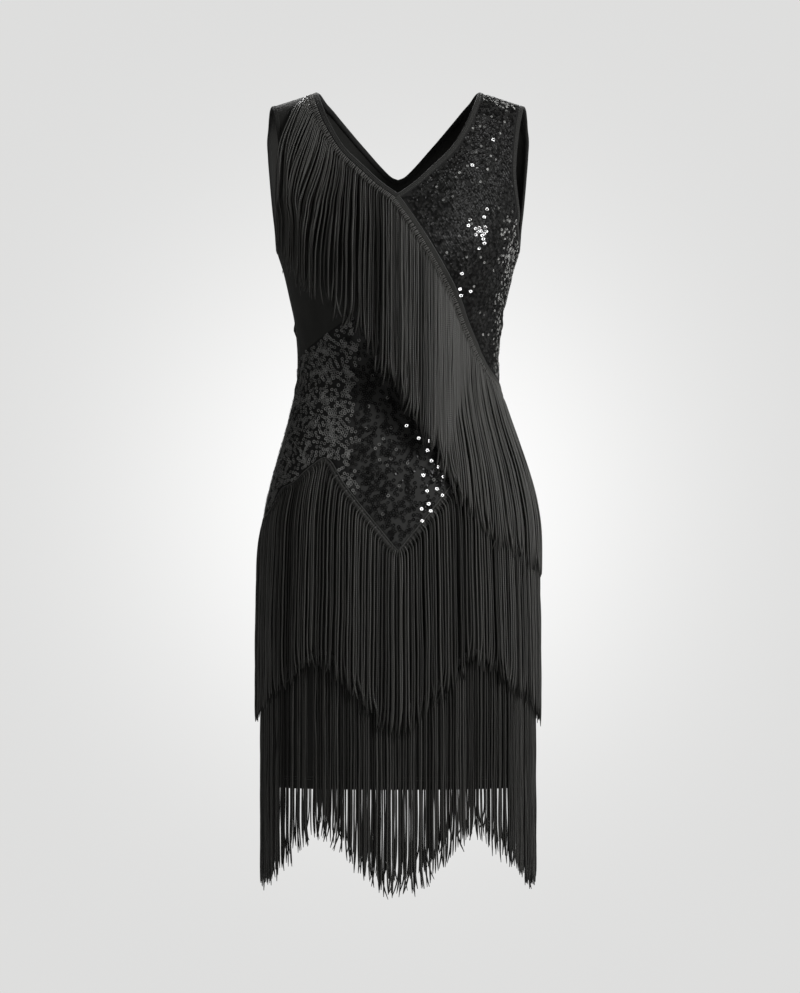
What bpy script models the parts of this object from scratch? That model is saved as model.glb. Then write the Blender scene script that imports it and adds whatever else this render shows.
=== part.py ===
"""Sleeveless cocktail dress with a V neck and three tiers of fringe.

The garment keeps the hollow form it has when it is worn. The origin lies midway between the two
shoulder seams. The front faces -Y, +X is the wearer's left and +Z is up. Sizes below are in
millimetres, and the meshes are in metres.
"""

import math

import bmesh
import bpy
from mathutils import Vector
from mathutils.geometry import delaunay_2d_cdt

MM = 0.001

# Cloth, seams and trims
CLOTH_THICKNESS = 1.5
SEAM_GAP = 0.34
BINDING_WIDTH = 5.5
BINDING_RAISE = 0.7
SHARPEST_MITRE = 0.25
TRIM_GAP = 0.65
TRIM_THICKNESS = 1.4
TAPE_EDGES = (0.3, 5.7)
TAPE_ENDS = (0.03, 0.992)
TAPE_STATIONS = 34
TIER_1_EDGES = (6.4, 10.9)
TIER_WIDTH = 6.0

# The hollow form: superellipse sections about the side seams, by drop below the shoulder seam
SECTION_POWER = 2.3
SHOULDER_ROUND = 30.0
NORMAL_REACH = 0.5
BODY_LEVELS = (
    # drop, half width, front depth, back depth
    (0.0, 172.0, 40.0, 44.0),
    (30.0, 168.0, 53.0, 64.0),
    (60.0, 164.0, 70.0, 80.0),
    (90.0, 158.0, 86.0, 90.0),
    (120.0, 152.0, 98.0, 95.0),
    (150.0, 146.5, 109.0, 97.0),
    (174.0, 142.0, 113.5, 97.0),
    (200.0, 134.0, 113.0, 95.0),
    (230.0, 127.0, 105.0, 90.0),
    (265.0, 120.0, 95.5, 84.0),
    (303.0, 117.3, 88.5, 81.0),
    (330.0, 118.0, 89.0, 85.0),
    (355.0, 123.0, 92.5, 92.5),
    (382.0, 130.0, 96.0, 102.0),
    (410.0, 138.0, 99.5, 111.0),
    (440.0, 146.5, 103.0, 119.0),
    (470.0, 154.0, 105.5, 124.0),
    (500.0, 158.0, 107.0, 125.5),
    (560.0, 158.5, 108.0, 124.5),
    (800.0, 158.0, 109.0, 122.5),
    (960.0, 158.0, 109.0, 122.5),
)

# The shoulder seam slopes from the neck point to the tip, and the slope fades out below
NECK_POINT_X = 94.5
NECK_POINT_RISE = 9.4
SHOULDER_SLOPE = 0.319
HIGHEST_RISE = 14.0
SLOPE_FADE_DROP = 110.0

# Soft cups for the bust, and the largest folds of the knit
CUP_X = 66.0
CUP_DROP = 184.0
CUP_RADIUS = 52.0
CUP_HEIGHT = 4.0
FOLDS = (
    # side (-1 front, 1 back), x at its middle, drop at its middle, half width, half length, lean, depth
    (-1, -92.0, 246.0, 17.0, 62.0, 0.18, -2.2),
    (-1, 84.0, 420.0, 20.0, 60.0, -0.20, -1.6),
    (1, -58.0, 290.0, 22.0, 70.0, 0.30, -2.6),
    (1, 46.0, 316.0, 24.0, 62.0, -0.35, -2.2),
    (1, 8.0, 250.0, 20.0, 50.0, 0.05, -1.6),
)

# The panels' lattice: even columns round each half, and rows at these drops
COLUMNS = 20
HALF_SPAN = 200.0
ROW_DROPS = (
    0.0, 1.2, 4.0, 8.5, 14.0, 21.0, 32.0, 50.0, 75.0, 100.0, 125.0, 150.0, 174.0, 194.0, 215.0, 240.0,
    270.0, 303.0, 335.0, 365.0, 395.0, 430.0, 460.0, 485.0, 515.0, 580.0, 800.0,
)
HEM_DROP = 800.0

# Edges and seams as (x, drop) from the front; SIDE stands for the side seam
SIDE = 999.0
NECK_FRONT = (
    (94.5, 0.0), (91.0, 9.0), (86.0, 23.0), (80.0, 37.0), (70.0, 53.0),
    (59.0, 66.0), (37.0, 84.5), (20.0, 99.0), (0.0, 113.3),
)
NECK_BACK = (
    (94.5, 0.0), (85.0, 11.0), (73.0, 24.0), (52.0, 45.0), (36.0, 60.0), (20.0, 75.0), (8.0, 85.0), (0.0, 88.0),
)
ARMHOLE_FRONT = (
    (148.5, 0.0), (144.5, 13.0), (140.5, 40.0), (138.0, 66.0), (137.0, 88.0),
    (139.0, 112.0), (141.5, 136.0),
)
ARMHOLE_BACK = (
    (148.5, 0.0), (152.0, 13.0), (154.0, 38.0), (153.0, 62.0), (150.5, 95.0),
    (147.5, 125.0), (146.2, 136.0),
)
UNDERARM_DROP = 174.0
UNDERARM_STEPS = 5
DIAGONAL_EDGE = (
    (22.0, 145.0), (47.0, 185.3), (71.0, 230.6), (85.6, 270.3), (105.7, 313.5), (SIDE, 338.0),
)
SLANT_SEAM = ((-15.0, 212.0), (-61.0, 259.0), (-SIDE, 317.0))
SLANT_TOP_DROP = 165.0
HIP_ZIGZAG = (
    (0.0, 525.0), (57.0, 454.0), (80.0, 419.0), (100.0, 427.0), (121.0, 446.0),
    (134.5, 454.0), (147.6, 477.0), (SIDE, 494.0),
)
SKIRT_ZIGZAG = (
    (0.0, 706.0), (30.0, 690.0), (60.0, 657.0), (86.0, 638.0), (108.0, 648.0), (136.0, 674.0), (SIDE, 692.0),
)

# Where each tier's strands end, as (x, drop) from the front
TIPS_1 = (
    (-150.0, 184.0), (-132.0, 192.0), (-113.0, 218.0), (-98.0, 229.0), (-75.0, 247.0), (-48.0, 269.0),
    (-34.0, 292.0), (-20.0, 319.0), (0.0, 344.0), (17.0, 361.0), (27.0, 387.0), (46.0, 414.0), (61.0, 446.0),
    (87.0, 483.0), (106.0, 510.0), (139.0, 529.0), (168.0, 553.0),
)
TIPS_2 = (
    (0.0, 737.0), (20.0, 727.0), (34.0, 714.0), (48.0, 697.0), (64.0, 679.0), (88.0, 656.0), (106.0, 658.0),
    (130.0, 684.0), (150.0, 696.0), (160.0, 712.0), (168.0, 725.0),
)
TIPS_3 = (
    (0.0, 925.0), (15.0, 919.0), (33.0, 905.0), (50.0, 890.0), (63.0, 875.0), (78.0, 860.0), (90.0, 853.0),
    (104.0, 861.0), (117.0, 874.0), (139.0, 896.0), (152.0, 914.0), (163.0, 909.0),
)

# The top fringe fans out from the shoulder before it falls: where a strand of each root x hangs
FAN = (
    (-106.0, -138.0), (-101.0, -125.0), (-95.0, -112.0), (-87.0, -99.0), (-77.0, -86.0),
    (-50.0, -53.0), (-20.0, -20.0), (160.0, 160.0),
)
FAN_FALL = 26.0

# Locks of fringe
LOCK_THICKNESS = 1.5
LOCK_FILL = 0.70
TIP_UNEVENNESS = 5.0
TIP_RHYTHMS = (2.4, 0.9)
SHORTEST_END = 10.0
HEADER_END = 2.5
HEADER_SAMPLES = 400
STEP_DOWN = 3.0
# The top fringe lies on the form down to the first drop, and is spread sideways by it below the second
SURFACE_DROP = 130.0
SPREAD_DROP = 200.0
SHOULDER_SECTIONS = (26.0, 40.0)
TIERS = (
    # node, side, locks, distances of the lock's sections from its root (the last is its tip)
    ("fringe_tier_1", -1, 38, (14.0, 60.0, 105.0, 150.0)),
    ("fringe_tier_2_front", -1, 34, (14.0, 60.0, 125.0)),
    ("fringe_tier_2_back", 1, 30, (14.0, 60.0, 125.0)),
    ("fringe_tier_3_front", -1, 36, (12.0, 110.0)),
    ("fringe_tier_3_back", 1, 34, (12.0, 110.0)),
)
CLEARANCES = {
    # how far each tier hangs off the form, by drop
    "fringe_tier_1": ((0.0, 2.6), (370.0, 3.0), (425.0, 7.2), (560.0, 7.8)),
    "fringe_tier_2_front": ((400.0, 3.2), (520.0, 3.8), (620.0, 6.8), (740.0, 7.4)),
    "fringe_tier_2_back": ((400.0, 5.0), (520.0, 5.0), (620.0, 6.8), (740.0, 7.4)),
    "fringe_tier_3_front": ((630.0, 1.3), (740.0, 1.5), (925.0, 2.0)),
    "fringe_tier_3_back": ((630.0, 1.3), (740.0, 1.5), (925.0, 2.0)),
}

# Looks: colour, roughness
FINISHES = {
    "sequin_cloth": ((0.018, 0.018, 0.018, 1.0), 0.30),
    "plain_knit": ((0.012, 0.012, 0.012, 1.0), 0.85),
    "trim": ((0.014, 0.014, 0.014, 1.0), 0.70),
    "fringe": ((0.020, 0.020, 0.020, 1.0), 0.55),
}


def lookup(rows, value, column=1):
    """The column's value at a place along the first column, by straight lines between rows."""
    if value <= rows[0][0]:
        return rows[0][column]
    for low, high in zip(rows, rows[1:]):
        if value <= high[0]:
            share = (value - low[0]) / (high[0] - low[0])
            return low[column] + share * (high[column] - low[column])
    return rows[-1][column]


def level_slope(index, column):
    """The slope of a body level's column at a row, flattened at each peak and dip."""
    if index in (0, len(BODY_LEVELS) - 1):
        return 0.0
    before, here, after = BODY_LEVELS[index - 1:index + 2]
    left = (here[column] - before[column]) / (here[0] - before[0])
    right = (after[column] - here[column]) / (after[0] - here[0])
    if left * right <= 0.0:
        return 0.0
    return 2.0 * left * right / (left + right)


def level(drop, column):
    """A smooth half width (1), front depth (2) or back depth (3) of the form at a drop."""
    drop = min(max(drop, BODY_LEVELS[0][0]), BODY_LEVELS[-1][0])
    index = 0
    while index < len(BODY_LEVELS) - 2 and drop > BODY_LEVELS[index + 1][0]:
        index += 1
    low, high = BODY_LEVELS[index], BODY_LEVELS[index + 1]
    span = high[0] - low[0]
    t = (drop - low[0]) / span
    return (
        (2 * t ** 3 - 3 * t ** 2 + 1) * low[column]
        + (t ** 3 - 2 * t ** 2 + t) * span * level_slope(index, column)
        + (3 * t ** 2 - 2 * t ** 3) * high[column]
        + (t ** 3 - t ** 2) * span * level_slope(index + 1, column)
    )


def signed_power(value, power):
    return math.copysign(abs(value) ** power, value)


def drop_along(u):
    """The drop at a distance u along the cloth from the shoulder seam, over its rounded top."""
    rounded = SHOULDER_ROUND * math.pi / 2
    if abs(u) < rounded:
        return SHOULDER_ROUND * (1.0 - math.cos(u / SHOULDER_ROUND))
    return u - rounded + SHOULDER_ROUND


def along_drop(drop):
    """The distance along the cloth from the shoulder seam that has this drop."""
    if drop < SHOULDER_ROUND:
        return SHOULDER_ROUND * math.acos(1.0 - drop / SHOULDER_ROUND)
    return drop - SHOULDER_ROUND + SHOULDER_ROUND * math.pi / 2


def shoulder_rise(x, drop):
    """How far the sloping shoulder lifts a point above its drop."""
    if drop >= SLOPE_FADE_DROP:
        return 0.0
    rise = min(NECK_POINT_RISE - SHOULDER_SLOPE * (abs(x) - NECK_POINT_X), HIGHEST_RISE)
    return rise * math.cos(math.pi / 2 * drop / SLOPE_FADE_DROP) ** 2


def relief(side, x, drop):
    """Extra depth from the cups and the largest folds."""
    extra = 0.0
    if side < 0:
        for centre in (-CUP_X, CUP_X):
            away = math.hypot(x - centre, drop - CUP_DROP) / CUP_RADIUS
            extra += CUP_HEIGHT * math.exp(-away * away)
    for fold_side, middle_x, middle_drop, half_width, half_length, lean, depth in FOLDS:
        if fold_side == side:
            down = (drop - middle_drop) / half_length
            across = (x - middle_x - lean * (drop - middle_drop)) / half_width
            extra += depth * math.exp(-across * across - down * down)
    return extra


def form_point(side, a, u):
    """The cloth's outer face at pattern place (a, u) of the front (side -1) or the back (side 1)."""
    angle = math.pi / 2 * a / HALF_SPAN
    drop = drop_along(u)
    x = level(drop, 1) * signed_power(math.sin(angle), 2.0 / SECTION_POWER)
    depth = level(drop, 2 if side < 0 else 3)
    if abs(u) < SHOULDER_ROUND * math.pi / 2:
        depth *= math.sin(u / SHOULDER_ROUND)
    round_off = signed_power(math.cos(angle), 2.0 / SECTION_POWER)
    y = side * (depth * round_off + relief(side, x, drop) * math.cos(angle))
    return Vector((x, y, shoulder_rise(x, drop) - drop))


def form_normal(side, a, u):
    """The outward direction of the form at a pattern place."""
    round_way = form_point(side, a + NORMAL_REACH, u) - form_point(side, a - NORMAL_REACH, u)
    down_way = form_point(side, a, u + NORMAL_REACH) - form_point(side, a, u - NORMAL_REACH)
    return (round_way.cross(down_way) * side).normalized()


def pattern(place, side=-1):
    """Turns (x, drop) seen from the front into a pattern place (a, u)."""
    x, drop = place
    share = min(abs(x) / level(drop, 1), 1.0)
    a = HALF_SPAN * math.asin(share ** (SECTION_POWER / 2.0)) * 2.0 / math.pi
    return Vector((math.copysign(a, x), along_drop(drop)))


def mirrored(places):
    return [(-x, drop) for x, drop in places]


def there_and_back(half):
    """A curve symmetrical about the centre, from the wearer's right side to the left."""
    return mirrored(half)[:0:-1] + list(half)


def offset_curve(points, distance, start_way=None, end_way=None):
    """A pattern curve moved to the right of its direction, with mitred corners."""
    ways = [(q - p).normalized() for p, q in zip(points, points[1:])]
    moved = []
    for index, point in enumerate(points):
        before = ways[max(index - 1, 0)]
        after = ways[min(index, len(ways) - 1)]
        normal = Vector((-before.y - after.y, before.x + after.x)).normalized()
        stretch = 1.0 / max(normal.dot(Vector((-before.y, before.x))), SHARPEST_MITRE)
        step = normal * stretch
        if index == 0 and start_way:
            step = Vector(start_way)
        if index == len(points) - 1 and end_way:
            step = Vector(end_way)
        moved.append(point + step * distance)
    return moved


def inset(outline, distance):
    """A closed pattern outline shrunk by a distance on every edge."""
    area = sum(p.x * q.y - q.x * p.y for p, q in zip(outline, outline[1:] + outline[:1]))
    turn = math.copysign(1.0, area)
    shrunk = []
    for index, point in enumerate(outline):
        before = (point - outline[index - 1]).normalized()
        after = (outline[(index + 1) % len(outline)] - point).normalized()
        normal = Vector((-before.y - after.y, before.x + after.x)).normalized() * turn
        stretch = 1.0 / max(abs(normal.dot(Vector((-before.y, before.x)))), SHARPEST_MITRE)
        shrunk.append(point + normal * stretch * distance)
    return shrunk


class Lattice:
    """The faceted form of one half, which every panel and trim follows exactly."""

    def __init__(self, side):
        self.side = side
        self.columns = [HALF_SPAN * (2.0 * i / COLUMNS - 1.0) for i in range(COLUMNS + 1)]
        self.rows = [along_drop(drop) for drop in ROW_DROPS]
        self.points = {}
        self.normals = {}
        for i, a in enumerate(self.columns):
            for j, u in enumerate(self.rows):
                self.points[i, j] = form_point(side, a, u)
                self.normals[i, j] = form_normal(side, a, u)

    def locate(self, place):
        """The three corners of the facet at a pattern place, with their shares."""
        a = min(max(place[0], -HALF_SPAN), HALF_SPAN)
        u = min(max(place[1], 0.0), self.rows[-1])
        width = self.columns[1] - self.columns[0]
        i = min(int((a + HALF_SPAN) / width), COLUMNS - 1)
        j = 0
        while j < len(self.rows) - 2 and u > self.rows[j + 1]:
            j += 1
        s = (a - self.columns[i]) / width
        t = (u - self.rows[j]) / (self.rows[j + 1] - self.rows[j])
        if s >= t:
            return ((i, j), 1.0 - s), ((i + 1, j), s - t), ((i + 1, j + 1), t)
        return ((i, j), 1.0 - t), ((i, j + 1), t - s), ((i + 1, j + 1), s)

    def lay(self, place, height):
        """A point at a height over the cloth's outer face."""
        corners = self.locate(place)
        point = sum((self.points[key] * share for key, share in corners), Vector())
        normal = sum((self.normals[key] * share for key, share in corners), Vector())
        return point + normal * height

    def cut(self, outline):
        """Cuts a panel out of the lattice: its pattern places and its triangles."""
        low_a = min(p.x for p in outline)
        high_a = max(p.x for p in outline)
        low_u = min(p.y for p in outline)
        high_u = max(p.y for p in outline)
        width = self.columns[1] - self.columns[0]
        keys = {}
        places = [Vector(p) for p in outline]
        edges = []
        for i, a in enumerate(self.columns):
            for j, u in enumerate(self.rows):
                above, below = self.rows[max(j - 1, 0)], self.rows[min(j + 1, len(self.rows) - 1)]
                if low_a - width <= a <= high_a + width and above <= high_u and below >= low_u:
                    keys[i, j] = len(places)
                    places.append(Vector((a, u)))
        for (i, j), index in keys.items():
            for other in ((i + 1, j), (i, j + 1), (i + 1, j + 1)):
                if other in keys:
                    edges.append((index, keys[other]))
        face = list(range(len(outline)))
        found = delaunay_2d_cdt(places, edges, [face], 0, 1e-6, True)
        triangles = [
            tuple(triangle)
            for triangle, inside in zip(found[2], found[5])
            if inside
        ]
        return found[0], triangles


def thick_wall(name, parts, inner, outer, finish):
    """A closed wall between two heights over one or more cut panels that meet."""
    mesh = bmesh.new()
    low_of = {}
    high_of = {}

    def corner(lattice, place):
        key = tuple(round(value, 4) for value in lattice.lay(place, 0.0))
        if key not in low_of:
            low_of[key] = mesh.verts.new(lattice.lay(place, inner) * MM)
            high_of[key] = mesh.verts.new(lattice.lay(place, outer) * MM)
        return key

    rim = {}
    for lattice, places, triangles in parts:
        for triangle in triangles:
            keys = [corner(lattice, places[index]) for index in triangle]
            if len(set(keys)) < 3:
                continue
            if lattice.side < 0:
                keys.reverse()
            mesh.faces.new([high_of[key] for key in keys])
            mesh.faces.new([low_of[key] for key in reversed(keys)])
            for start, end in zip(keys, keys[1:] + keys[:1]):
                if (end, start) in rim:
                    del rim[end, start]
                else:
                    rim[start, end] = True
    for start, end in rim:
        mesh.faces.new((high_of[end], high_of[start], low_of[start]))
        mesh.faces.new((high_of[end], low_of[start], low_of[end]))
    finish_object(name, mesh, finish)


def finish_object(name, mesh, finish):
    """Turns a closed bmesh into a named object with its own material."""
    loose = [vert for vert in mesh.verts if not vert.link_faces]
    bmesh.ops.delete(mesh, geom=loose, context="VERTS")
    bmesh.ops.recalc_face_normals(mesh, faces=mesh.faces)
    data = bpy.data.meshes.new(name)
    mesh.to_mesh(data)
    mesh.free()
    material = bpy.data.materials.new(name)
    material.use_nodes = True
    shader = material.node_tree.nodes["Principled BSDF"]
    colour, roughness = FINISHES[finish]
    shader.inputs["Base Color"].default_value = colour
    shader.inputs["Roughness"].default_value = roughness
    shader.inputs["Metallic"].default_value = 0.0
    material.diffuse_color = colour
    data.materials.append(material)
    made = bpy.data.objects.new(name, data)
    bpy.context.scene.collection.objects.link(made)


def edge_band(edge, start_way, end_way):
    """The outline of a binding: a free edge and the same edge moved into the panel."""
    inside = offset_curve(edge, BINDING_WIDTH, start_way, end_way)
    return edge + inside[::-1]


def panel_edge(edge, start_way, end_way):
    """Where a panel meets a binding, before its seam gap is taken off."""
    return offset_curve(edge, BINDING_WIDTH + SEAM_GAP / 2, start_way, end_way)


def neck_edges(half):
    """A neck edge from the right shoulder down to the V, and from the V up to the left shoulder."""
    right = [pattern(place) for place in mirrored(half)]
    left = [pattern(place) for place in half][::-1]
    return right, left


def armhole_edge(half, hand):
    """An armhole from the shoulder tip down, rounded under the arm to meet the side seam."""
    edge = [pattern((hand * x, drop)) for x, drop in half]
    start = edge[-1].copy()
    reach = hand * HALF_SPAN - start.x
    fall = along_drop(UNDERARM_DROP) - start.y
    for step in range(1, UNDERARM_STEPS + 1):
        turn = math.pi / 2 * step / UNDERARM_STEPS
        edge.append(start + Vector((reach * (1.0 - math.cos(turn)), fall * math.sin(turn))))
    return edge


def build_bindings(lattices):
    """Rings round the neck and the armholes, each welded at its shoulder and side seams."""
    neck_parts = []
    for lattice, half in zip(lattices, (NECK_FRONT, NECK_BACK)):
        right, left = neck_edges(half)
        outline = edge_band(right + left[1:], (-1.0, 0.0), (1.0, 0.0))
        neck_parts.append((lattice, *lattice.cut(outline)))
    thick_wall("neck_binding", neck_parts, -CLOTH_THICKNESS - BINDING_RAISE, BINDING_RAISE, "trim")
    for name, hand in (("armhole_binding_right", -1.0), ("armhole_binding_left", 1.0)):
        parts = []
        for lattice, half in zip(lattices, (ARMHOLE_FRONT, ARMHOLE_BACK)):
            edge = armhole_edge(half, hand)
            if hand < 0:
                outline = edge_band(edge[::-1], (0.0, 1.0), (1.0, 0.0))
            else:
                outline = edge_band(edge, (-1.0, 0.0), (0.0, 1.0))
            parts.append((lattice, *lattice.cut(outline)))
        thick_wall(name, parts, -CLOTH_THICKNESS - BINDING_RAISE, BINDING_RAISE, "trim")


def front_seams():
    """The pattern curves that part the front's panels."""
    neck_right, neck_left = neck_edges(NECK_FRONT)
    neck = panel_edge(neck_right + neck_left[1:], (-1.0, 0.0), (1.0, 0.0))
    v_index = len(neck_right) - 1
    diagonal_edge = [pattern((0.0, NECK_FRONT[-1][1]))] + [pattern(place) for place in DIAGONAL_EDGE]
    middle = (TAPE_EDGES[0] + TAPE_EDGES[1]) / 2
    diagonal = offset_curve(diagonal_edge, middle, (0.0, 1.0), (0.0, 1.0))
    diagonal[0] = neck[v_index]
    meeting_u = along_drop(SLANT_TOP_DROP)
    for index, (upper, lower) in enumerate(zip(diagonal, diagonal[1:])):
        if upper.y < meeting_u <= lower.y:
            share = (meeting_u - upper.y) / (lower.y - upper.y)
            meeting = upper.lerp(lower, share)
            split = index + 1
    return {
        "neck_right": neck[:v_index + 1],
        "neck_left": neck[v_index:],
        "diagonal_upper": diagonal[:split] + [meeting],
        "diagonal_lower": [meeting] + diagonal[split:],
        "slant": [meeting] + [pattern(place) for place in SLANT_SEAM],
        "armhole_right": panel_edge(armhole_edge(ARMHOLE_FRONT, -1.0)[::-1], (0.0, 1.0), (1.0, 0.0)),
        "armhole_left": panel_edge(armhole_edge(ARMHOLE_FRONT, 1.0), (-1.0, 0.0), (0.0, 1.0)),
        "zigzag": [pattern(place) for place in there_and_back(HIP_ZIGZAG)],
    }


def build_panel(name, lattice, outline, finish):
    """One piece of cloth, parted from its neighbours by the seam gap."""
    places, triangles = lattice.cut(inset(outline, SEAM_GAP / 2))
    thick_wall(name, [(lattice, places, triangles)], -CLOTH_THICKNESS, 0.0, finish)


def build_front(front):
    seams = front_seams()
    hem = [Vector((HALF_SPAN, along_drop(HEM_DROP))), Vector((-HALF_SPAN, along_drop(HEM_DROP)))]
    build_panel(
        "bodice_front_left", front,
        seams["neck_left"] + seams["armhole_left"]
        + (seams["diagonal_upper"] + seams["diagonal_lower"][1:])[:0:-1],
        "sequin_cloth",
    )
    build_panel(
        "bodice_front_right", front,
        seams["neck_right"] + seams["diagonal_upper"][1:] + seams["slant"][1:] + seams["armhole_right"],
        "plain_knit",
    )
    build_panel(
        "midriff_front", front,
        seams["slant"][::-1] + seams["diagonal_lower"][1:] + seams["zigzag"][::-1],
        "sequin_cloth",
    )
    build_panel("skirt_front", front, seams["zigzag"] + hem, "plain_knit")


def build_back(back):
    neck_right, neck_left = neck_edges(NECK_BACK)
    neck = panel_edge(neck_right + neck_left[1:], (-1.0, 0.0), (1.0, 0.0))
    armhole_right = panel_edge(armhole_edge(ARMHOLE_BACK, -1.0)[::-1], (0.0, 1.0), (1.0, 0.0))
    armhole_left = panel_edge(armhole_edge(ARMHOLE_BACK, 1.0), (-1.0, 0.0), (0.0, 1.0))
    zigzag = [pattern(place) for place in there_and_back(HIP_ZIGZAG)]
    hem = [Vector((HALF_SPAN, along_drop(HEM_DROP))), Vector((-HALF_SPAN, along_drop(HEM_DROP)))]
    build_panel("bodice_back", back, neck + armhole_left + zigzag[::-1] + armhole_right, "plain_knit")
    build_panel("skirt_back", back, zigzag + hem, "plain_knit")


def neck_and_diagonal():
    """The edge that the top fringe follows: the right half of the neck, then the diagonal."""
    return [pattern(place) for place in mirrored(NECK_FRONT)] + [pattern(place) for place in DIAGONAL_EDGE]


def point_along(curve, share):
    """The place at a share of a pattern curve's length."""
    lengths = [(q - p).length for p, q in zip(curve, curve[1:])]
    distance = share * sum(lengths)
    for start, end, length in zip(curve, curve[1:], lengths):
        if distance <= length:
            return start.lerp(end, distance / length)
        distance -= length
    return curve[-1].copy()


def build_tape(front):
    """The ridged tape over the diagonal seam, below the neck binding."""
    edge = [pattern((0.0, NECK_FRONT[-1][1]))] + [pattern(place) for place in DIAGONAL_EDGE]
    upper = offset_curve(edge, TAPE_EDGES[0])
    lower = offset_curve(edge, TAPE_EDGES[1])
    mesh = bmesh.new()
    rings = []
    start, end = TAPE_ENDS
    for index in range(TAPE_STATIONS + 1):
        share = start + (end - start) * index / TAPE_STATIONS
        places = (point_along(upper, share), point_along(lower, share))
        rings.append([
            mesh.verts.new(front.lay(place, height) * MM)
            for place, height in (
                (places[0], TRIM_GAP), (places[0], TRIM_GAP + TRIM_THICKNESS),
                (places[1], TRIM_GAP + TRIM_THICKNESS), (places[1], TRIM_GAP),
            )
        ])
    tube_faces(mesh, rings, range(4))
    mesh.faces.new(rings[0])
    mesh.faces.new(rings[-1][::-1])
    finish_object("diagonal_tape", mesh, "trim")


def tube_faces(mesh, rings, sides):
    """Faces between rings of four corners, on the given sides, as triangles."""
    for ring, following in zip(rings, rings[1:]):
        for side in sides:
            after = (side + 1) % 4
            mesh.faces.new((ring[side], following[side], following[after]))
            mesh.faces.new((ring[side], following[after], ring[after]))


def tier_curves(name):
    """A header's upper and lower edges as pattern curves."""
    if name == "fringe_tier_1":
        edge = neck_and_diagonal()
        upper = offset_curve(edge, TIER_1_EDGES[0], (-1.0, 0.0))
        lower = offset_curve(edge, TIER_1_EDGES[1], (-1.0, 0.0))
        return upper, lower
    half = HIP_ZIGZAG if "tier_2" in name else SKIRT_ZIGZAG
    edge = [pattern(place) for place in there_and_back(half)]
    down = Vector((0.0, 1.0))
    return [p + down * SEAM_GAP for p in edge], [p + down * TIER_WIDTH for p in edge]


def hanging_path(side, root, far_x, tips, clearance, uneven):
    """A strand's path from its root: it follows the form outward and hangs free below it."""
    x, y, z = root
    path = [Vector(root)]
    swept = 0.0
    while -z < lookup(tips, x) + uneven:
        z -= STEP_DOWN
        fallen = root[2] - z
        sweep = (far_x - root[0]) * (1.0 - math.exp(-fallen / FAN_FALL))
        x += sweep - swept
        swept = sweep
        drop = -z
        off = lookup(clearance, drop)
        if drop < SURFACE_DROP:
            place = surface_place(x, z)
            point = form_point(side, *place) + form_normal(side, *place) * off
            path.append(point)
            y = point.y
            continue
        wide = level(drop, 1) + off
        deep = level(drop, 2 if side < 0 else 3) + max(relief(side, x, drop), 0.0) + off
        across = (abs(x) / wide) ** SECTION_POWER
        if drop < SPREAD_DROP:
            reach = deep * max(1.0 - across, 0.0) ** (1.0 / SECTION_POWER)
            y = side * max(abs(y), reach)
        else:
            fill = across + (abs(y) / deep) ** SECTION_POWER
            grow = max(fill ** (-1.0 / SECTION_POWER), 1.0)
            x *= grow
            y *= grow
        path.append(Vector((x, y, z)))
    return path


def surface_place(x, z):
    """The pattern place of a point of the form, given as seen from the front."""
    drop = max(-z, 0.0)
    for _ in range(12):
        drop = max(shoulder_rise(x, drop) - z, 0.0)
    return pattern((x, drop))


def section_normal(side, point):
    """The outward direction of the form beside a hanging point."""
    if -point.z < SURFACE_DROP:
        return form_normal(side, *surface_place(point.x, point.z))
    wide = level(-point.z, 1)
    deep = level(-point.z, 2 if side < 0 else 3)
    across = signed_power(point.x, SECTION_POWER - 1.0) / wide ** SECTION_POWER
    outward = signed_power(point.y, SECTION_POWER - 1.0) / deep ** SECTION_POWER
    return Vector((across, outward, 0.0)).normalized()


def lock_sections(side, path, distances, width):
    """Corners of a lock's sections along its path, in the order of a header's lower corners."""
    travelled = [0.0]
    for start, end in zip(path, path[1:]):
        travelled.append(travelled[-1] + (end - start).length)
    stops = [distance for distance in distances if distance < travelled[-1] - SHORTEST_END]
    sections = []
    for stop in stops + [travelled[-1]]:
        index = next(i for i, length in enumerate(travelled) if length >= stop - 1e-6)
        index = max(index, 1)
        span = travelled[index] - travelled[index - 1]
        share = (stop - travelled[index - 1]) / span
        centre = path[index - 1].lerp(path[index], share)
        way = (path[index] - path[index - 1]).normalized()
        normal = section_normal(side, centre)
        across = normal.cross(way).normalized() * -side
        sections.append([
            centre + across * (hand * width / 2) + normal * height
            for hand, height in ((-1, 0.0), (-1, LOCK_THICKNESS), (1, LOCK_THICKNESS), (1, 0.0))
        ])
    return sections


def root_shares(name, lower, locks):
    """Where each lock starts and ends along its header, as shares of the header's length."""
    samples = [point_along(lower, i / HEADER_SAMPLES) for i in range(HEADER_SAMPLES + 1)]
    if name == "fringe_tier_1":
        spread = [lookup(FAN, form_point(-1, *place).x) for place in samples]
    else:
        spread = [place.x for place in samples]
    first = spread[0] + HEADER_END
    last = spread[-1] - HEADER_END
    pitch = (last - first) / locks
    rows = [(value, i / HEADER_SAMPLES) for i, value in enumerate(spread)]
    shares = []
    for index in range(locks):
        middle = first + pitch * (index + 0.5)
        half = pitch * LOCK_FILL / 2
        shares.append((lookup(rows, middle - half), lookup(rows, middle + half)))
    return shares, pitch * LOCK_FILL


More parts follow.
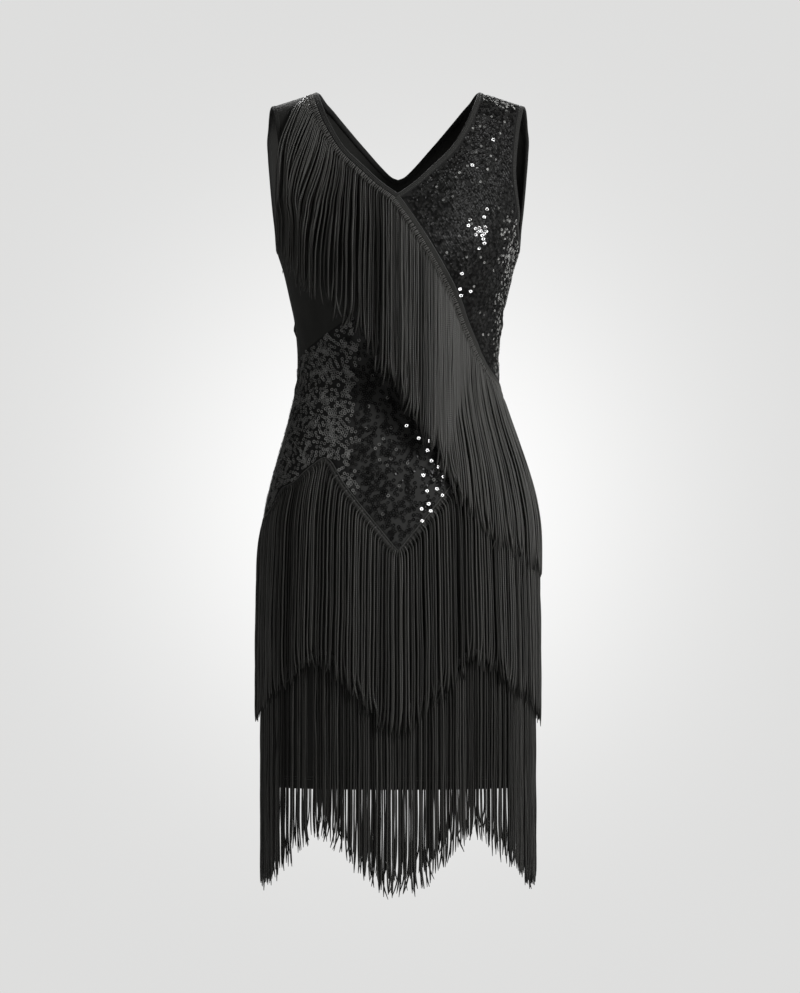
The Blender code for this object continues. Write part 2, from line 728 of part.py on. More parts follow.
def build_tier(lattice, name, side, locks, distances):
    """A header strip on the cloth, with its locks drawn down from its lower edge."""
    upper, lower = tier_curves(name)
    tips = {"1": TIPS_1, "2": TIPS_2, "3": TIPS_3}[name.split("_")[2]]
    shares, width = root_shares(name, lower, locks)
    stations = [share for pair in shares for share in pair]
    mesh = bmesh.new()
    rings = []
    for share in stations:
        high, low = point_along(upper, share), point_along(lower, share)
        rings.append([
            mesh.verts.new(lattice.lay(place, height) * MM)
            for place, height in (
                (high, TRIM_GAP), (high, TRIM_GAP + TRIM_THICKNESS),
                (low, TRIM_GAP + TRIM_THICKNESS), (low, TRIM_GAP),
            )
        ])
    for index, (ring, following) in enumerate(zip(rings, rings[1:])):
        has_lock = index % 2 == 0
        tube_faces(mesh, [ring, following], (0, 1, 3) if has_lock else range(4))
        if has_lock:
            start = [ring[3], ring[2], following[2], following[3]]
            build_lock(mesh, side, name, index // 2, start, tips, distances, width)
    mesh.faces.new(rings[0])
    mesh.faces.new(rings[-1][::-1])
    finish_object(name, mesh, "fringe")


def build_lock(mesh, side, name, index, start, tips, distances, width):
    """One lock from four corners of its header: inner and outer left, outer and inner right."""
    root = (start[0].co + start[3].co) / 2 / MM
    quick, slow = TIP_RHYTHMS
    uneven = TIP_UNEVENNESS * math.sin(quick * index + len(name)) * math.cos(slow * index)
    far_x = lookup(FAN, root.x) if name == "fringe_tier_1" else root.x
    if name != "fringe_tier_1":
        tips = [(-x, drop) for x, drop in tips[:0:-1]] + list(tips)
    path = hanging_path(side, root, far_x, tips, CLEARANCES[name], uneven)
    if -root.z < SHOULDER_ROUND:
        distances = distances[:1] + SHOULDER_SECTIONS + distances[1:]
    sections = lock_sections(side, path, distances, width)
    ring = start
    for section in sections:
        following = [mesh.verts.new(corner * MM) for corner in section]
        tube_faces(mesh, [ring, following], range(4))
        ring = following
    mesh.faces.new(ring)


def clear_scene():
    for item in list(bpy.data.objects):
        bpy.data.objects.remove(item, do_unlink=True)


def main():
    clear_scene()
    front = Lattice(-1)
    back = Lattice(1)
    build_bindings((front, back))
    build_front(front)
    build_back(back)
    build_tape(front)
    for name, side, locks, distances in TIERS:
        build_tier(front if side < 0 else back, name, side, locks, distances)


main()
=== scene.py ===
from functools import partial
import math

import bmesh
import bpy
import numpy as np
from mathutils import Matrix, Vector
from mathutils.geometry import delaunay_2d_cdt

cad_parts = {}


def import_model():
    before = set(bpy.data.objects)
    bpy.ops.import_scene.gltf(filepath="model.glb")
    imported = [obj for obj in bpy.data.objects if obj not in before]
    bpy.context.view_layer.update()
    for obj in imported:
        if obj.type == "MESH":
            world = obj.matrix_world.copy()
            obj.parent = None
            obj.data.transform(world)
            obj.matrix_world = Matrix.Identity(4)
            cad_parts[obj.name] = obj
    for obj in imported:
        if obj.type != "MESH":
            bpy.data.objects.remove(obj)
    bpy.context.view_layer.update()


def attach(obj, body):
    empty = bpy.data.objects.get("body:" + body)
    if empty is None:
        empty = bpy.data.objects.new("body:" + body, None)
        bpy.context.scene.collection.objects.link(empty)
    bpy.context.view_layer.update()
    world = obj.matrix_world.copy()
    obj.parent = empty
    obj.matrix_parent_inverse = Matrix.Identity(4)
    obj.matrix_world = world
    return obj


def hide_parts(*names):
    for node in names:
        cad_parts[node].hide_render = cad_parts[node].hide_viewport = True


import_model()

# The cloth is worked out in millimetres, and the meshes are in metres.
# A place on the cloth is (around, down): the distance round the body from the centre line, and the
# distance down the cloth from the shoulder seam. Side -1 is the front and 1 the back.
MM = 0.001
rng = np.random.default_rng(2226)

POWER = 2.3
SHOULDER_ROUND = 30.0
HALF_SPAN = 200.0
LEVELS = np.array([
    # drop, half width, front depth, back depth
    (0, 172, 40, 44), (30, 168, 53, 64), (60, 164, 70, 80),
    (90, 158, 86, 90), (120, 152, 98, 95), (150, 146.5, 109, 97),
    (174, 142, 113.5, 97), (200, 134, 113, 95), (230, 127, 105, 90),
    (265, 120, 95.5, 84), (303, 117.3, 88.5, 81), (330, 118, 89, 85),
    (355, 123, 92.5, 92.5), (382, 130, 96, 102), (410, 138, 99.5, 111),
    (440, 146.5, 103, 119), (470, 154, 105.5, 124), (500, 158, 107, 125.5),
    (560, 158.5, 108, 124.5), (800, 158, 109, 122.5), (960, 158, 109, 122.5),
], float)
NECK_POINT_X = 94.5
NECK_POINT_RISE = 9.4
SHOULDER_SLOPE = 0.319
HIGHEST_RISE = 14
SLOPE_FADE_DROP = 110
HEM_DROP = 800

CUP_X = 66
CUP_DROP = 184
CUP_RADIUS = 52
CUP_HEIGHT = 4
FOLDS = (
    # side, x, drop, half width, half length, lean, depth
    (-1, -92, 246, 17, 62, 0.18, -2.2),
    (-1, 84, 420, 20, 60, -0.20, -1.6),
    (1, -58, 290, 22, 70, 0.30, -2.6),
    (1, 46, 316, 24, 62, -0.35, -2.2),
    (1, 8, 250, 20, 50, 0.05, -1.6),
)
CREASES = (
    # side, from x, from drop, to x, to drop, half width, height
    (-1, 128, 26, 106, 98, 7.5, -2.6),
    (-1, 112, 44, 96, 96, 6, 0.8),
    (-1, 134, 150, 104, 176, 5.5, -0.9),
    (-1, 126, 214, 98, 226, 5, 0.8),
    (-1, 122, 246, 92, 250, 4.5, -0.9),
    (-1, 116, 272, 97, 284, 4.5, 0.9),
    (-1, 117, 300, 101, 296, 4, -0.8),
    (-1, -112, 196, -101, 258, 5, 0.9),
    (-1, -101, 210, -90, 296, 5.5, -1),
    (-1, -92, 204, -79, 278, 5, 0.8),
    (-1, -113, 262, -104, 318, 4.5, 0.7),
    (-1, -82, 262, -96, 312, 5, -0.6),
    (-1, -118, 330, -86, 344, 5.5, -0.8),
    (-1, -124, 364, -96, 360, 5, 0.7),
    (-1, -40, 318, 20, 330, 8, -0.7),
    (-1, 10, 372, 62, 356, 9, 0.6),
    (-1, -92, 560, -86, 740, 16, 1.2),
    (-1, -30, 600, -36, 770, 18, -1.1),
    (-1, 52, 570, 60, 780, 15, 1),
    (1, -128, 236, -62, 262, 7, -1.6),
    (1, -122, 268, -54, 282, 6.5, 1.2),
    (1, -118, 302, -70, 306, 6, -1.5),
    (1, -121, 338, -58, 324, 8, 1.1),
    (1, 127, 226, 70, 258, 6.5, -1.4),
    (1, 121, 262, 48, 286, 7.5, 1.3),
    (1, 118, 296, 82, 308, 5.5, -1.6),
    (1, 122, 346, 66, 330, 7, -1),
    (1, -34, 268, 30, 276, 9, 0.9),
    (1, -20, 300, 42, 304, 8, -1.1),
    (1, -124, 60, -96, 132, 10, 1.1),
    (1, 118, 74, 88, 150, 11, 1),
    (1, -70, 120, -58, 204, 14, -0.8),
    (1, -84, 560, -92, 760, 17, 1.2),
    (1, 20, 590, 12, 780, 20, -1.2),
    (1, 96, 580, 104, 750, 15, 1),
)

# How much deeper the creases of the plain back are than the table says
BACK_CREASE = 2.2
CREASE_BOW = 0.06
CREASE_FADE = 1.6

# Seams and edges by (x, drop) as seen from the front; SIDE stands for the side seam
SIDE = 999
NECK_FRONT = (
    (94.5, 0), (91, 9), (86, 23), (80, 37), (70, 53),
    (59, 66), (37, 84.5), (20, 99), (0, 113.3),
)
NECK_BACK = (
    (94.5, 0), (85, 11), (73, 24), (52, 45), (36, 60), (20, 75), (8, 85), (0, 88),
)
ARMHOLE_FRONT = (
    (148.5, 0), (144.5, 13), (140.5, 40), (138, 66), (137, 88), (139, 112), (141.5, 136),
)
ARMHOLE_BACK = (
    (148.5, 0), (152, 13), (154, 38), (153, 62), (150.5, 95), (147.5, 125), (146.2, 136),
)
UNDERARM_DROP = 174
DIAGONAL = (
    (0, 113.3), (22, 145), (47, 185.3), (71, 230.6), (85.6, 270.3), (105.7, 313.5), (SIDE, 338),
)
SLANT_SEAM = ((27, 165), (-15, 212), (-61, 259), (-SIDE, 317))
HIP_ZIGZAG = (
    (0, 525), (57, 454), (80, 419), (100, 427), (121, 446),
    (134.5, 454), (147.6, 477), (SIDE, 494),
)
SKIRT_ZIGZAG = (
    (0, 706), (30, 690), (60, 657), (86, 638), (108, 648), (136, 674), (SIDE, 692),
)

TIPS = {
    "upper": np.array([
        (-150, 176), (-137, 178), (-129, 192), (-113, 218), (-98, 229), (-75, 247), (-48, 269), (-34, 292),
        (-20, 319), (0, 344), (17, 361), (27, 387), (46, 414), (61, 446), (87, 483), (106, 510), (139, 529),
        (168, 553),
    ], float),
    "middle": np.array([
        (0, 737), (20, 727), (34, 714), (48, 697), (64, 679), (88, 656), (106, 658), (130, 684),
        (150, 696), (160, 712), (168, 725),
    ], float),
    "lower": np.array([
        (0, 925), (15, 919), (33, 905), (50, 890), (63, 875), (78, 860), (90, 853), (104, 861),
        (117, 874), (139, 896), (152, 914), (163, 909),
    ], float),
}
# Where the top fringe's strands swing to: x at the root and far below, the fall it takes, how sudden it is
FAN = np.array([
    (-115, -137, 70, 0.75), (-107, -132, 74, 0.8), (-101, -127, 82, 0.6), (-95, -119, 96, 0.3),
    (-87, -112, 112, 0.1), (-79, -103, 120, 0), (-72, -90, 120, 0), (-62, -69, 110, 0), (-50, -53, 90, 0),
    (-20, -20, 90, 0), (160, 160, 90, 0),
], float)

SIDES = ((-1, "front"), (1, "back"))
HANDS = ((-1, "right"), (1, "left"))


def lookup(rows, value, column=1):
    return np.interp(value, rows[:, 0], rows[:, column])


def level_slopes(column):
    """Slopes of a smooth curve through a column of the levels, flat at each peak and dip."""
    drops, values = LEVELS[:, 0], LEVELS[:, column]
    rate = np.diff(values) / np.diff(drops)
    slopes = np.zeros(len(drops))
    same = rate[:-1] * rate[1:] > 0
    slopes[1:-1][same] = 2 * rate[:-1][same] * rate[1:][same] / (rate[:-1][same] + rate[1:][same])
    return slopes


SLOPES = np.stack([np.zeros(len(LEVELS))] + [level_slopes(column) for column in (1, 2, 3)], axis=1)


def level(drop, column):
    """Half width (1), front depth (2) or back depth (3) of the form at a drop."""
    drop = np.clip(drop, LEVELS[0, 0], LEVELS[-1, 0])
    index = np.clip(np.searchsorted(LEVELS[:, 0], drop) - 1, 0, len(LEVELS) - 2)
    span = LEVELS[index + 1, 0] - LEVELS[index, 0]
    t = (drop - LEVELS[index, 0]) / span
    return (
        (2 * t ** 3 - 3 * t ** 2 + 1) * LEVELS[index, column]
        + (t ** 3 - 2 * t ** 2 + t) * span * SLOPES[index, column]
        + (3 * t ** 2 - 2 * t ** 3) * LEVELS[index + 1, column]
        + (t ** 3 - t ** 2) * span * SLOPES[index + 1, column]
    )


def signed_power(value, power):
    return np.sign(value) * np.abs(value) ** power


def unit(vectors):
    return vectors / np.maximum(np.linalg.norm(vectors, axis=-1, keepdims=True), 1e-9)


def pair(first, second):
    """Two values side by side, as places on the cloth or as directions."""
    return np.stack(np.broadcast_arrays(first, second), axis=-1)


def quarter_turn(ways):
    return pair(-ways[:, 1], ways[:, 0])


def travelled(points):
    """The distance gone along each curve, at each of its points."""
    gone = np.cumsum(np.linalg.norm(np.diff(points, axis=-2), axis=-1), axis=-1)
    return np.concatenate([np.zeros((*gone.shape[:-1], 1)), gone], axis=-1)


def drop_of(down):
    """The drop below the shoulder line of a distance down the cloth, which rolls over the shoulder."""
    rounded = SHOULDER_ROUND * math.pi / 2
    top = SHOULDER_ROUND * (1 - np.cos(np.minimum(np.abs(down), rounded) / SHOULDER_ROUND))
    return np.where(np.abs(down) < rounded, top, down - rounded + SHOULDER_ROUND)


def down_of(drop):
    """The distance down the cloth of a drop below the shoulder line."""
    cosine = np.clip(1 - np.asarray(drop, float) / SHOULDER_ROUND, -1, 1)
    return np.where(drop < SHOULDER_ROUND, SHOULDER_ROUND * np.arccos(cosine),
                    drop - SHOULDER_ROUND + SHOULDER_ROUND * math.pi / 2)


def shoulder_rise(x, drop):
    """Height of the shoulder line over the top of the form, gone by the chest."""
    rise = np.minimum(NECK_POINT_RISE - SHOULDER_SLOPE * (np.abs(x) - NECK_POINT_X), HIGHEST_RISE)
    fade = np.cos(math.pi / 2 * np.clip(drop / SLOPE_FADE_DROP, 0, 1)) ** 2
    return rise * fade


def relief(side, x, drop):
    """The bust and the large folds, which the solids have too."""
    extra = np.zeros(np.shape(x))
    if side < 0:
        for centre in (-CUP_X, CUP_X):
            away = ((x - centre) ** 2 + (drop - CUP_DROP) ** 2) / CUP_RADIUS ** 2
            extra = extra + CUP_HEIGHT * np.exp(-away)
    for fold_side, fold_x, fold_drop, half_width, half_length, lean, depth in FOLDS:
        if fold_side == side:
            along = (drop - fold_drop) / half_length
            across = (x - fold_x - lean * (drop - fold_drop)) / half_width
            extra = extra + depth * np.exp(-across ** 2 - along ** 2)
    return extra


def wrinkle(side, x, drop):
    """Height of the cloth's soft creases over the form."""
    height = np.zeros(np.shape(x))
    for crease_side, x0, drop0, x1, drop1, half_width, depth in CREASES:
        if crease_side != side:
            continue
        depth *= BACK_CREASE if side > 0 else 1
        way = np.array([x1 - x0, drop1 - drop0], float)
        length = np.hypot(*way)
        way /= length
        along = (x - x0) * way[0] + (drop - drop0) * way[1]
        across = (x - x0) * way[1] - (drop - drop0) * way[0]
        past = np.maximum(np.maximum(-along, along - length), 0)
        bow = across - CREASE_BOW * length * np.sin(math.pi * np.clip(along / length, 0, 1))
        height = height + depth * np.exp(-(bow / half_width) ** 2 - (past / (CREASE_FADE * half_width)) ** 2)
    return height


def depth_column(side):
    return 2 if side < 0 else 3


def form(side, a, down):
    """The cloth's outer face at an even turn a (200 is the side seam) and a distance down the cloth."""
    angle = math.pi / 2 * a / HALF_SPAN
    drop = drop_of(down)
    x = level(drop, 1) * signed_power(np.sin(angle), 2 / POWER)
    rounded = np.sin(np.clip(down / SHOULDER_ROUND, -math.pi / 2, math.pi / 2))
    round_off = signed_power(np.cos(angle), 2 / POWER)
    y = level(drop, depth_column(side)) * rounded * round_off + relief(side, x, drop) * np.cos(angle)
    return np.stack([x, side * y, shoulder_rise(x, drop) - drop], axis=-1)


def form_normal(side, a, down, reach=0.5):
    across = form(side, a + reach, down) - form(side, a - reach, down)
    along = form(side, a, down + reach) - form(side, a, down - reach)
    return unit(np.cross(across, along) * side)


# How far round the cloth a turn is, for sections of different flatness
ROUND_STEPS = 400
ROUND_TURN = np.linspace(0, math.pi / 2, ROUND_STEPS + 1)
FLATNESS = np.linspace(0, 1, 9)
HALVINGS = 24


def round_lengths(flatness):
    x = np.sin(ROUND_TURN) ** (2 / POWER)
    y = flatness * np.cos(ROUND_TURN) ** (2 / POWER)
    return np.concatenate([[0], np.cumsum(np.hypot(np.diff(x), np.diff(y)))])


ROUND_TABLE = np.array([round_lengths(value) for value in FLATNESS])


def around_of(side, a, down):
    """The distance round the cloth from the centre line to a turn."""
    drop = drop_of(down)
    wide = level(drop, 1)
    deep = level(drop, depth_column(side)) * np.sin(np.clip(down / SHOULDER_ROUND, 0, math.pi / 2))
    row = np.clip(deep / wide, 0, 0.9999) * (len(FLATNESS) - 1)
    column = np.clip(np.abs(a) / HALF_SPAN, 0, 1) * ROUND_STEPS
    r, c = row.astype(int), np.minimum(column.astype(int), ROUND_STEPS - 1)
    s, t = row - r, column - c
    low = ROUND_TABLE[r, c] * (1 - t) + ROUND_TABLE[r, c + 1] * t
    high = ROUND_TABLE[r + 1, c] * (1 - t) + ROUND_TABLE[r + 1, c + 1] * t
    return np.sign(a) * wide * (low * (1 - s) + high * s)


def turn_of(side, around, down):
    """The turn at a distance round the cloth, by halving."""
    low, high = np.zeros(np.shape(around)), np.full(np.shape(around), HALF_SPAN)
    for _ in range(HALVINGS):
        middle = (low + high) / 2
        short = around_of(side, middle, down) < np.abs(around)
        low, high = np.where(short, middle, low), np.where(short, high, middle)
    return np.sign(around) * (low + high) / 2


def turn_at(x, drop):
    """The turn of a point of the form seen from the front."""
    share = np.minimum(np.abs(x) / level(drop, 1), 1)
    return np.sign(x) * HALF_SPAN * np.arcsin(share ** (POWER / 2)) * 2 / math.pi


def lay(side, places, height=0.0):
    """Points at a height over the creased cloth."""
    around, down = places[..., 0], places[..., 1]
    a = turn_of(side, around, down)
    point = form(side, a, down)
    height = height + wrinkle(side, point[..., 0], drop_of(down))
    return point + form_normal(side, a, down) * np.asarray(height)[..., None]


FACING_STEPS = np.array([(0.8, 0.0), (0.0, 0.8)])


def facing(side, places):
    """The outward direction of the creased cloth."""
    across, along = (lay(side, places + step) - lay(side, places - step) for step in FACING_STEPS)
    return unit(np.cross(across, along) * side)


def places_of(side, x, drop):
    """Turns (x, drop) seen from the front into places on the cloth."""
    x, drop = np.asarray(x, float), np.asarray(drop, float)
    down = down_of(drop)
    return pair(around_of(side, turn_at(x, drop), down), down)


# Curves on the cloth
def even(points, step):
    """A curve with its points a step apart."""
    lengths = travelled(points)
    stops = np.linspace(0, lengths[-1], max(int(round(lengths[-1] / step)), 2) + 1)
    return pair(*(np.interp(stops, lengths, column) for column in points.T))


def smooth(points, step=2.5):
    """A smooth curve through the points of a table."""
    padded = np.concatenate([[2 * points[0] - points[1]], points, [2 * points[-1] - points[-2]]])
    t = np.linspace(0, 1, 12, endpoint=False)[:, None]
    parts = []
    for p0, p1, p2, p3 in zip(padded, padded[1:], padded[2:], padded[3:]):
        parts.append(0.5 * (2 * p1 + (p2 - p0) * t + (2 * p0 - 5 * p1 + 4 * p2 - p3) * t ** 2
                            + (3 * p1 - p0 - 3 * p2 + p3) * t ** 3))
    return even(np.concatenate(parts + [points[-1:]]), step)


def curve(side, table, hand=1, step=2.5):
    x, drop = np.array(table).T
    return smooth(places_of(side, hand * x, drop), step)


def offset(points, distance, spread=0, start=None, end=None):
    """A curve moved to the right of its direction, with its directions evened out over some points."""
    ways = unit(np.diff(points, axis=0))
    before = np.concatenate([ways[:1], ways])
    after = np.concatenate([ways, ways[-1:]])
    normal = unit(quarter_turn(before + after))
    stretch = 1 / np.maximum(np.sum(normal * quarter_turn(before), axis=1), 0.35)
    normal = normal * stretch[:, None]
    if start is not None:
        normal[0] = start
    if end is not None:
        normal[-1] = end
    if spread:
        weight = np.ones(2 * spread + 1) / (2 * spread + 1)
        wide = np.pad(normal, ((spread, spread), (0, 0)), mode="edge")
        normal = unit(pair(*(np.convolve(column, weight, "valid") for column in wide.T)))
    return points + normal * distance


def zigzag(side, table):
    """A tier's seam, from the wearer's right side to the left, with its points kept at the V."""
    return np.concatenate([curve(side, table, -1)[::-1], curve(side, table)[1:]])


def neck_halves(side):
    """The neck's edge, down from the right shoulder and up to the left one."""
    table = NECK_FRONT if side < 0 else NECK_BACK
    return curve(side, table, -1), curve(side, table)[::-1]


def armhole(side, hand):
    """An armhole's edge from the shoulder tip down and round to the side seam."""
    table = ARMHOLE_FRONT if side < 0 else ARMHOLE_BACK
    x, drop = np.array(table).T
    points = places_of(side, hand * x, drop)
    start = points[-1]
    corner = np.array([places_of(side, hand * SIDE, UNDERARM_DROP)[0], float(down_of(UNDERARM_DROP))])
    turn = np.linspace(0, math.pi / 2, 7)[1:, None]
    arc = start + (corner - start) * np.hstack([1 - np.cos(turn), np.sin(turn)])
    return smooth(np.concatenate([points, arc]))


def side_seam(side, hand, top, bottom, step=4.0):
    """Places down the side seam between two distances down the cloth."""
    count = max(int(abs(bottom - top) / step), 1)
    down = np.linspace(top, bottom, count + 1)
    return pair(around_of(side, np.full(count + 1, hand * HALF_SPAN), down), down)


# Meshes
def make_mesh(name, points, weave, faces, flat_angle=None):
    """A mesh object from points in millimetres, values on its points and groups of faces."""
    mesh = bpy.data.meshes.new(name)
    mesh.vertices.add(len(points))
    mesh.vertices.foreach_set("co", (np.asarray(points) * MM).astype(np.float32).ravel())
    groups = [np.asarray(group) for group in faces if len(group)]
    sizes = np.concatenate([np.full(len(group), group.shape[1]) for group in groups])
    corners = np.concatenate([group.ravel() for group in groups])
    mesh.loops.add(len(corners))
    mesh.loops.foreach_set("vertex_index", corners.astype(np.int32))
    mesh.polygons.add(len(sizes))
    starts = np.concatenate([[0], np.cumsum(sizes)[:-1]])
    mesh.polygons.foreach_set("loop_start", starts.astype(np.int32))
    mesh.update(calc_edges=True)
    mesh.validate()
    mesh.polygons.foreach_set("use_smooth", np.ones(len(mesh.polygons), bool))
    if flat_angle:
        mesh.set_sharp_from_angle(angle=math.radians(flat_angle))
    if weave is not None:
        layer = mesh.attributes.new("weave", "FLOAT_VECTOR", "POINT")
        layer.data.foreach_set("vector", np.asarray(weave, np.float32).ravel())
    made = bpy.data.objects.new(name, mesh)
    bpy.context.scene.collection.objects.link(made)
    return made


def dress_with(piece, material, slot, *nodes):
    """Gives a piece its material and body, and hides the nodes that it stands for. The slot is not used."""
    piece.data.materials.append(material)
    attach(piece, "root")
    if nodes:
        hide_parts(*nodes)
    return piece


def piece_of(name, parts, material, slot, *nodes, welded=False):
    """One piece from several (points, weave, faces)."""
    piece = make_mesh(name, *join(parts))
    if welded:
        weld(piece)
    return dress_with(piece, material, slot, *nodes)


def join(parts):
    points, weaves, faces, base = [], [], [], 0
    for part_points, part_weave, part_faces in parts:
        points.append(part_points)
        weaves.append(part_weave)
        faces += [np.asarray(group) + base for group in part_faces]
        base += len(part_points)
    return np.concatenate(points), np.concatenate(weaves), faces


def weld(piece, distance=0.00012):
    mesh = bmesh.new()
    mesh.from_mesh(piece.data)
    bmesh.ops.remove_doubles(mesh, verts=mesh.verts, dist=distance)
    bmesh.ops.recalc_face_normals(mesh, faces=mesh.faces)
    mesh.to_mesh(piece.data)
    mesh.free()


def distance_to(points, outline):
    """The distance from each point to a closed outline."""
    best = np.full(len(points), 1e9)
    for start, end in zip(outline, np.roll(outline, -1, axis=0)):
        way = end - start
        share = np.clip(((points - start) @ way) / max(way @ way, 1e-9), 0, 1)
        best = np.minimum(best, np.linalg.norm(points - start - share[:, None] * way, axis=1))
    return best


def inside(points, outline):
    """Which points lie inside a closed outline."""
    x, y = points[:, 0], points[:, 1]
    found = np.zeros(len(points), bool)
    for (x0, y0), (x1, y1) in zip(outline, np.roll(outline, -1, axis=0)):
        if y0 != y1:
            crosses = (y0 > y) != (y1 > y)
            found ^= crosses & (x < (x1 - x0) * (y - y0) / (y1 - y0) + x0)
    return found


# Cloth panels
CLOTH_THICKNESS = 1.1
SHARP_FOLD = 50
GRID = 5.0
SEAM_INSET = 0.15
SEAM_DIP = 0.55
SEAM_REACH = 1.5


def inset(outline, distance):
    """A closed outline moved inwards."""
    area = np.sum(outline[:, 0] * np.roll(outline[:, 1], -1) - outline[:, 1] * np.roll(outline[:, 0], -1))
    before = unit(outline - np.roll(outline, 1, axis=0))
    after = unit(np.roll(outline, -1, axis=0) - outline)
    normal = unit(quarter_turn(before + after)) * np.sign(area)
    stretch = 1 / np.maximum(np.abs(np.sum(normal * quarter_turn(before), axis=1)), 0.4)
    return outline + normal * (stretch * distance)[:, None]


def cloth(panel, side, lines, material, slot):
    """A panel of thin cloth over the form, creased, with its edges turned down into its seams."""
    outline = inset(np.concatenate(lines), SEAM_INSET)
    low, high = outline.min(axis=0), outline.max(axis=0)
    columns = np.arange(low[0], high[0] + GRID, GRID)
    rows = np.arange(low[1], high[1] + GRID, GRID)
    grid = np.stack(np.meshgrid(columns, rows), axis=-1).reshape(-1, 2)
    grid[:, 0] += GRID / 2 * (np.round((grid[:, 1] - low[1]) / GRID) % 2)
    grid = grid[inside(grid, outline)]
    grid = grid[distance_to(grid, outline) > 2 * SEAM_REACH]
    ring = inset(outline, SEAM_REACH)
    ring = ring[inside(ring, outline)]
    ring = ring[distance_to(ring, outline) > SEAM_REACH * 0.8]
    points = np.concatenate([outline, ring, grid])
    found = delaunay_2d_cdt([tuple(p) for p in points], [], [list(range(len(outline)))], 0, 1e-5, True)
    places = np.array([tuple(p) for p in found[0]])
    triangles = np.array([tuple(face) for face, origin in zip(found[2], found[5]) if origin])
    used, triangles = np.unique(triangles, return_inverse=True)
    triangles = triangles.reshape(-1, 3)
    places = places[used]
    away = distance_to(places, outline)
    dip = -SEAM_DIP * np.exp(-(away / (0.6 * SEAM_REACH)) ** 2)
    outer = lay(side, places, dip)
    inner = lay(side, places, -CLOTH_THICKNESS)
    count = len(places)
    if side < 0:
        triangles = triangles[:, ::-1]
    edges = np.concatenate([triangles[:, [0, 1]], triangles[:, [1, 2]], triangles[:, [2, 0]]])
    known = {tuple(edge) for edge in edges}
    rim = np.array([edge for edge in known if (edge[1], edge[0]) not in known])
    rim = rim[np.lexsort((rim[:, 1], rim[:, 0]))]
    walls = np.stack([rim[:, 1], rim[:, 0], rim[:, 0] + count, rim[:, 1] + count], axis=1)
    weave = np.column_stack([places, away])
    piece = make_mesh("cloth_" + panel, np.concatenate([outer, inner]), np.concatenate([weave, weave]),
                      [triangles, triangles[:, ::-1] + count, walls], SHARP_FOLD)
    dress_with(piece, material, slot, panel)


def strip(side, rails, heights, ends=True):
    """A strip from curves side by side, each at its own height, closed underneath and at its ends."""
    points = np.stack([lay(side, rail, height) for rail, height in zip(rails, heights)], axis=1)
    across = travelled(np.array([rail[0] for rail in rails]))
    weave = np.stack(np.broadcast_arrays(across[None, :], travelled(rails[0])[:, None], 0.0), axis=-1)
    ring = np.arange(weave[..., 0].size).reshape(weave.shape[:2])
    after = np.roll(ring, -1, axis=1)
    faces = [np.stack([ring[:-1, i], after[:-1, i], after[1:, i], ring[1:, i]], axis=1)
             for i in range(len(rails))]
    if ends:
        faces += [ring[:1], ring[-1:, ::-1]]
    return points.reshape(-1, 3), weave.reshape(-1, 3), faces


def tubes(path, radius, sides, above, shade=1.0):
    """Closed tubes along many paths, (tube, section, 3), with the direction that is up at each section."""
    count, sections = path.shape[:2]
    radius = np.broadcast_to(radius, (count, sections))
    way = unit(np.gradient(path, axis=1))
    across = unit(np.cross(way, above))
    outward = np.cross(across, way)
    turn = 2 * math.pi * np.arange(sides) / sides
    ring = (np.cos(turn)[None, None, :, None] * across[:, :, None, :]
            + np.sin(turn)[None, None, :, None] * outward[:, :, None, :])
    points = path[:, :, None, :] + ring * radius[:, :, None, None]
    shade = np.broadcast_to(shade, count)[:, None, None]
    weave = np.stack(np.broadcast_arrays(
        np.cos(turn) * shade, np.sin(turn) * shade, travelled(path)[:, :, None]), axis=-1)
    index = np.arange(count * sections * sides).reshape(count, sections, sides)
    after = np.roll(index, -1, axis=2)
    quads = np.stack([index[:, :-1], after[:, :-1], after[:, 1:], index[:, 1:]], axis=-1).reshape(-1, 4)
    caps = np.concatenate([index[:, 0, ::-1], index[:, -1]])
    return points.reshape(-1, 3), weave.reshape(-1, 3), [quads[:, ::-1], caps[:, ::-1]]


# Materials
LOOP_DEPTH = 0.00018


def node(tree, kind, links=(), **values):
    """A new node, with its sockets linked to other sockets or set to plain values."""
    made = tree.nodes.new(kind)
    for key, value in values.items():
        setattr(made, key, value)
    for socket, value in links:
        target = made.inputs[socket]
        if isinstance(value, bpy.types.NodeSocket):
            tree.links.new(value, target)
        else:
            target.default_value = value
    return made


def new_material(name, colour, roughness, sheen=0.0, sheen_roughness=0.4, specular=0.5):
    material = bpy.data.materials.new(name)
    material.use_nodes = True
    tree = material.node_tree
    shader = tree.nodes["Principled BSDF"]
    for socket, value in (("Base Color", (*colour, 1)), ("Roughness", roughness), ("Sheen Weight", sheen),
                          ("Sheen Roughness", sheen_roughness), ("Specular IOR Level", specular)):
        shader.inputs[socket].default_value = value
    material.diffuse_color = (*colour, 1)
    return material, tree, shader


def math_node(tree, operation, a, b=None, clamp=False):
    links = [(0, a)] + ([(1, b)] if b is not None else [])
    return node(tree, "ShaderNodeMath", links, operation=operation, use_clamp=clamp).outputs[0]


def mix_colours(tree, share, low, high):
    mixed = node(tree, "ShaderNodeMix", data_type="RGBA")
    for index, value in ((0, share), (6, low), (7, high)):
        if isinstance(value, bpy.types.NodeSocket):
            tree.links.new(value, mixed.inputs[index])
        else:
            mixed.inputs[index].default_value = (*value, 1) if isinstance(value, tuple) else value
    return mixed.outputs[2]


def noise(tree, place, scale, detail):
    links = [("Vector", place), ("Scale", scale), ("Detail", detail)]
    return node(tree, "ShaderNodeTexNoise", links).outputs[0]


def roughen(tree, shader, source, low, high):
    """Varies the roughness with a value from 0 to 1."""
    rough = node(tree, "ShaderNodeMapRange", [(0, source), (3, low), (4, high)])
    tree.links.new(rough.outputs[0], shader.inputs["Roughness"])


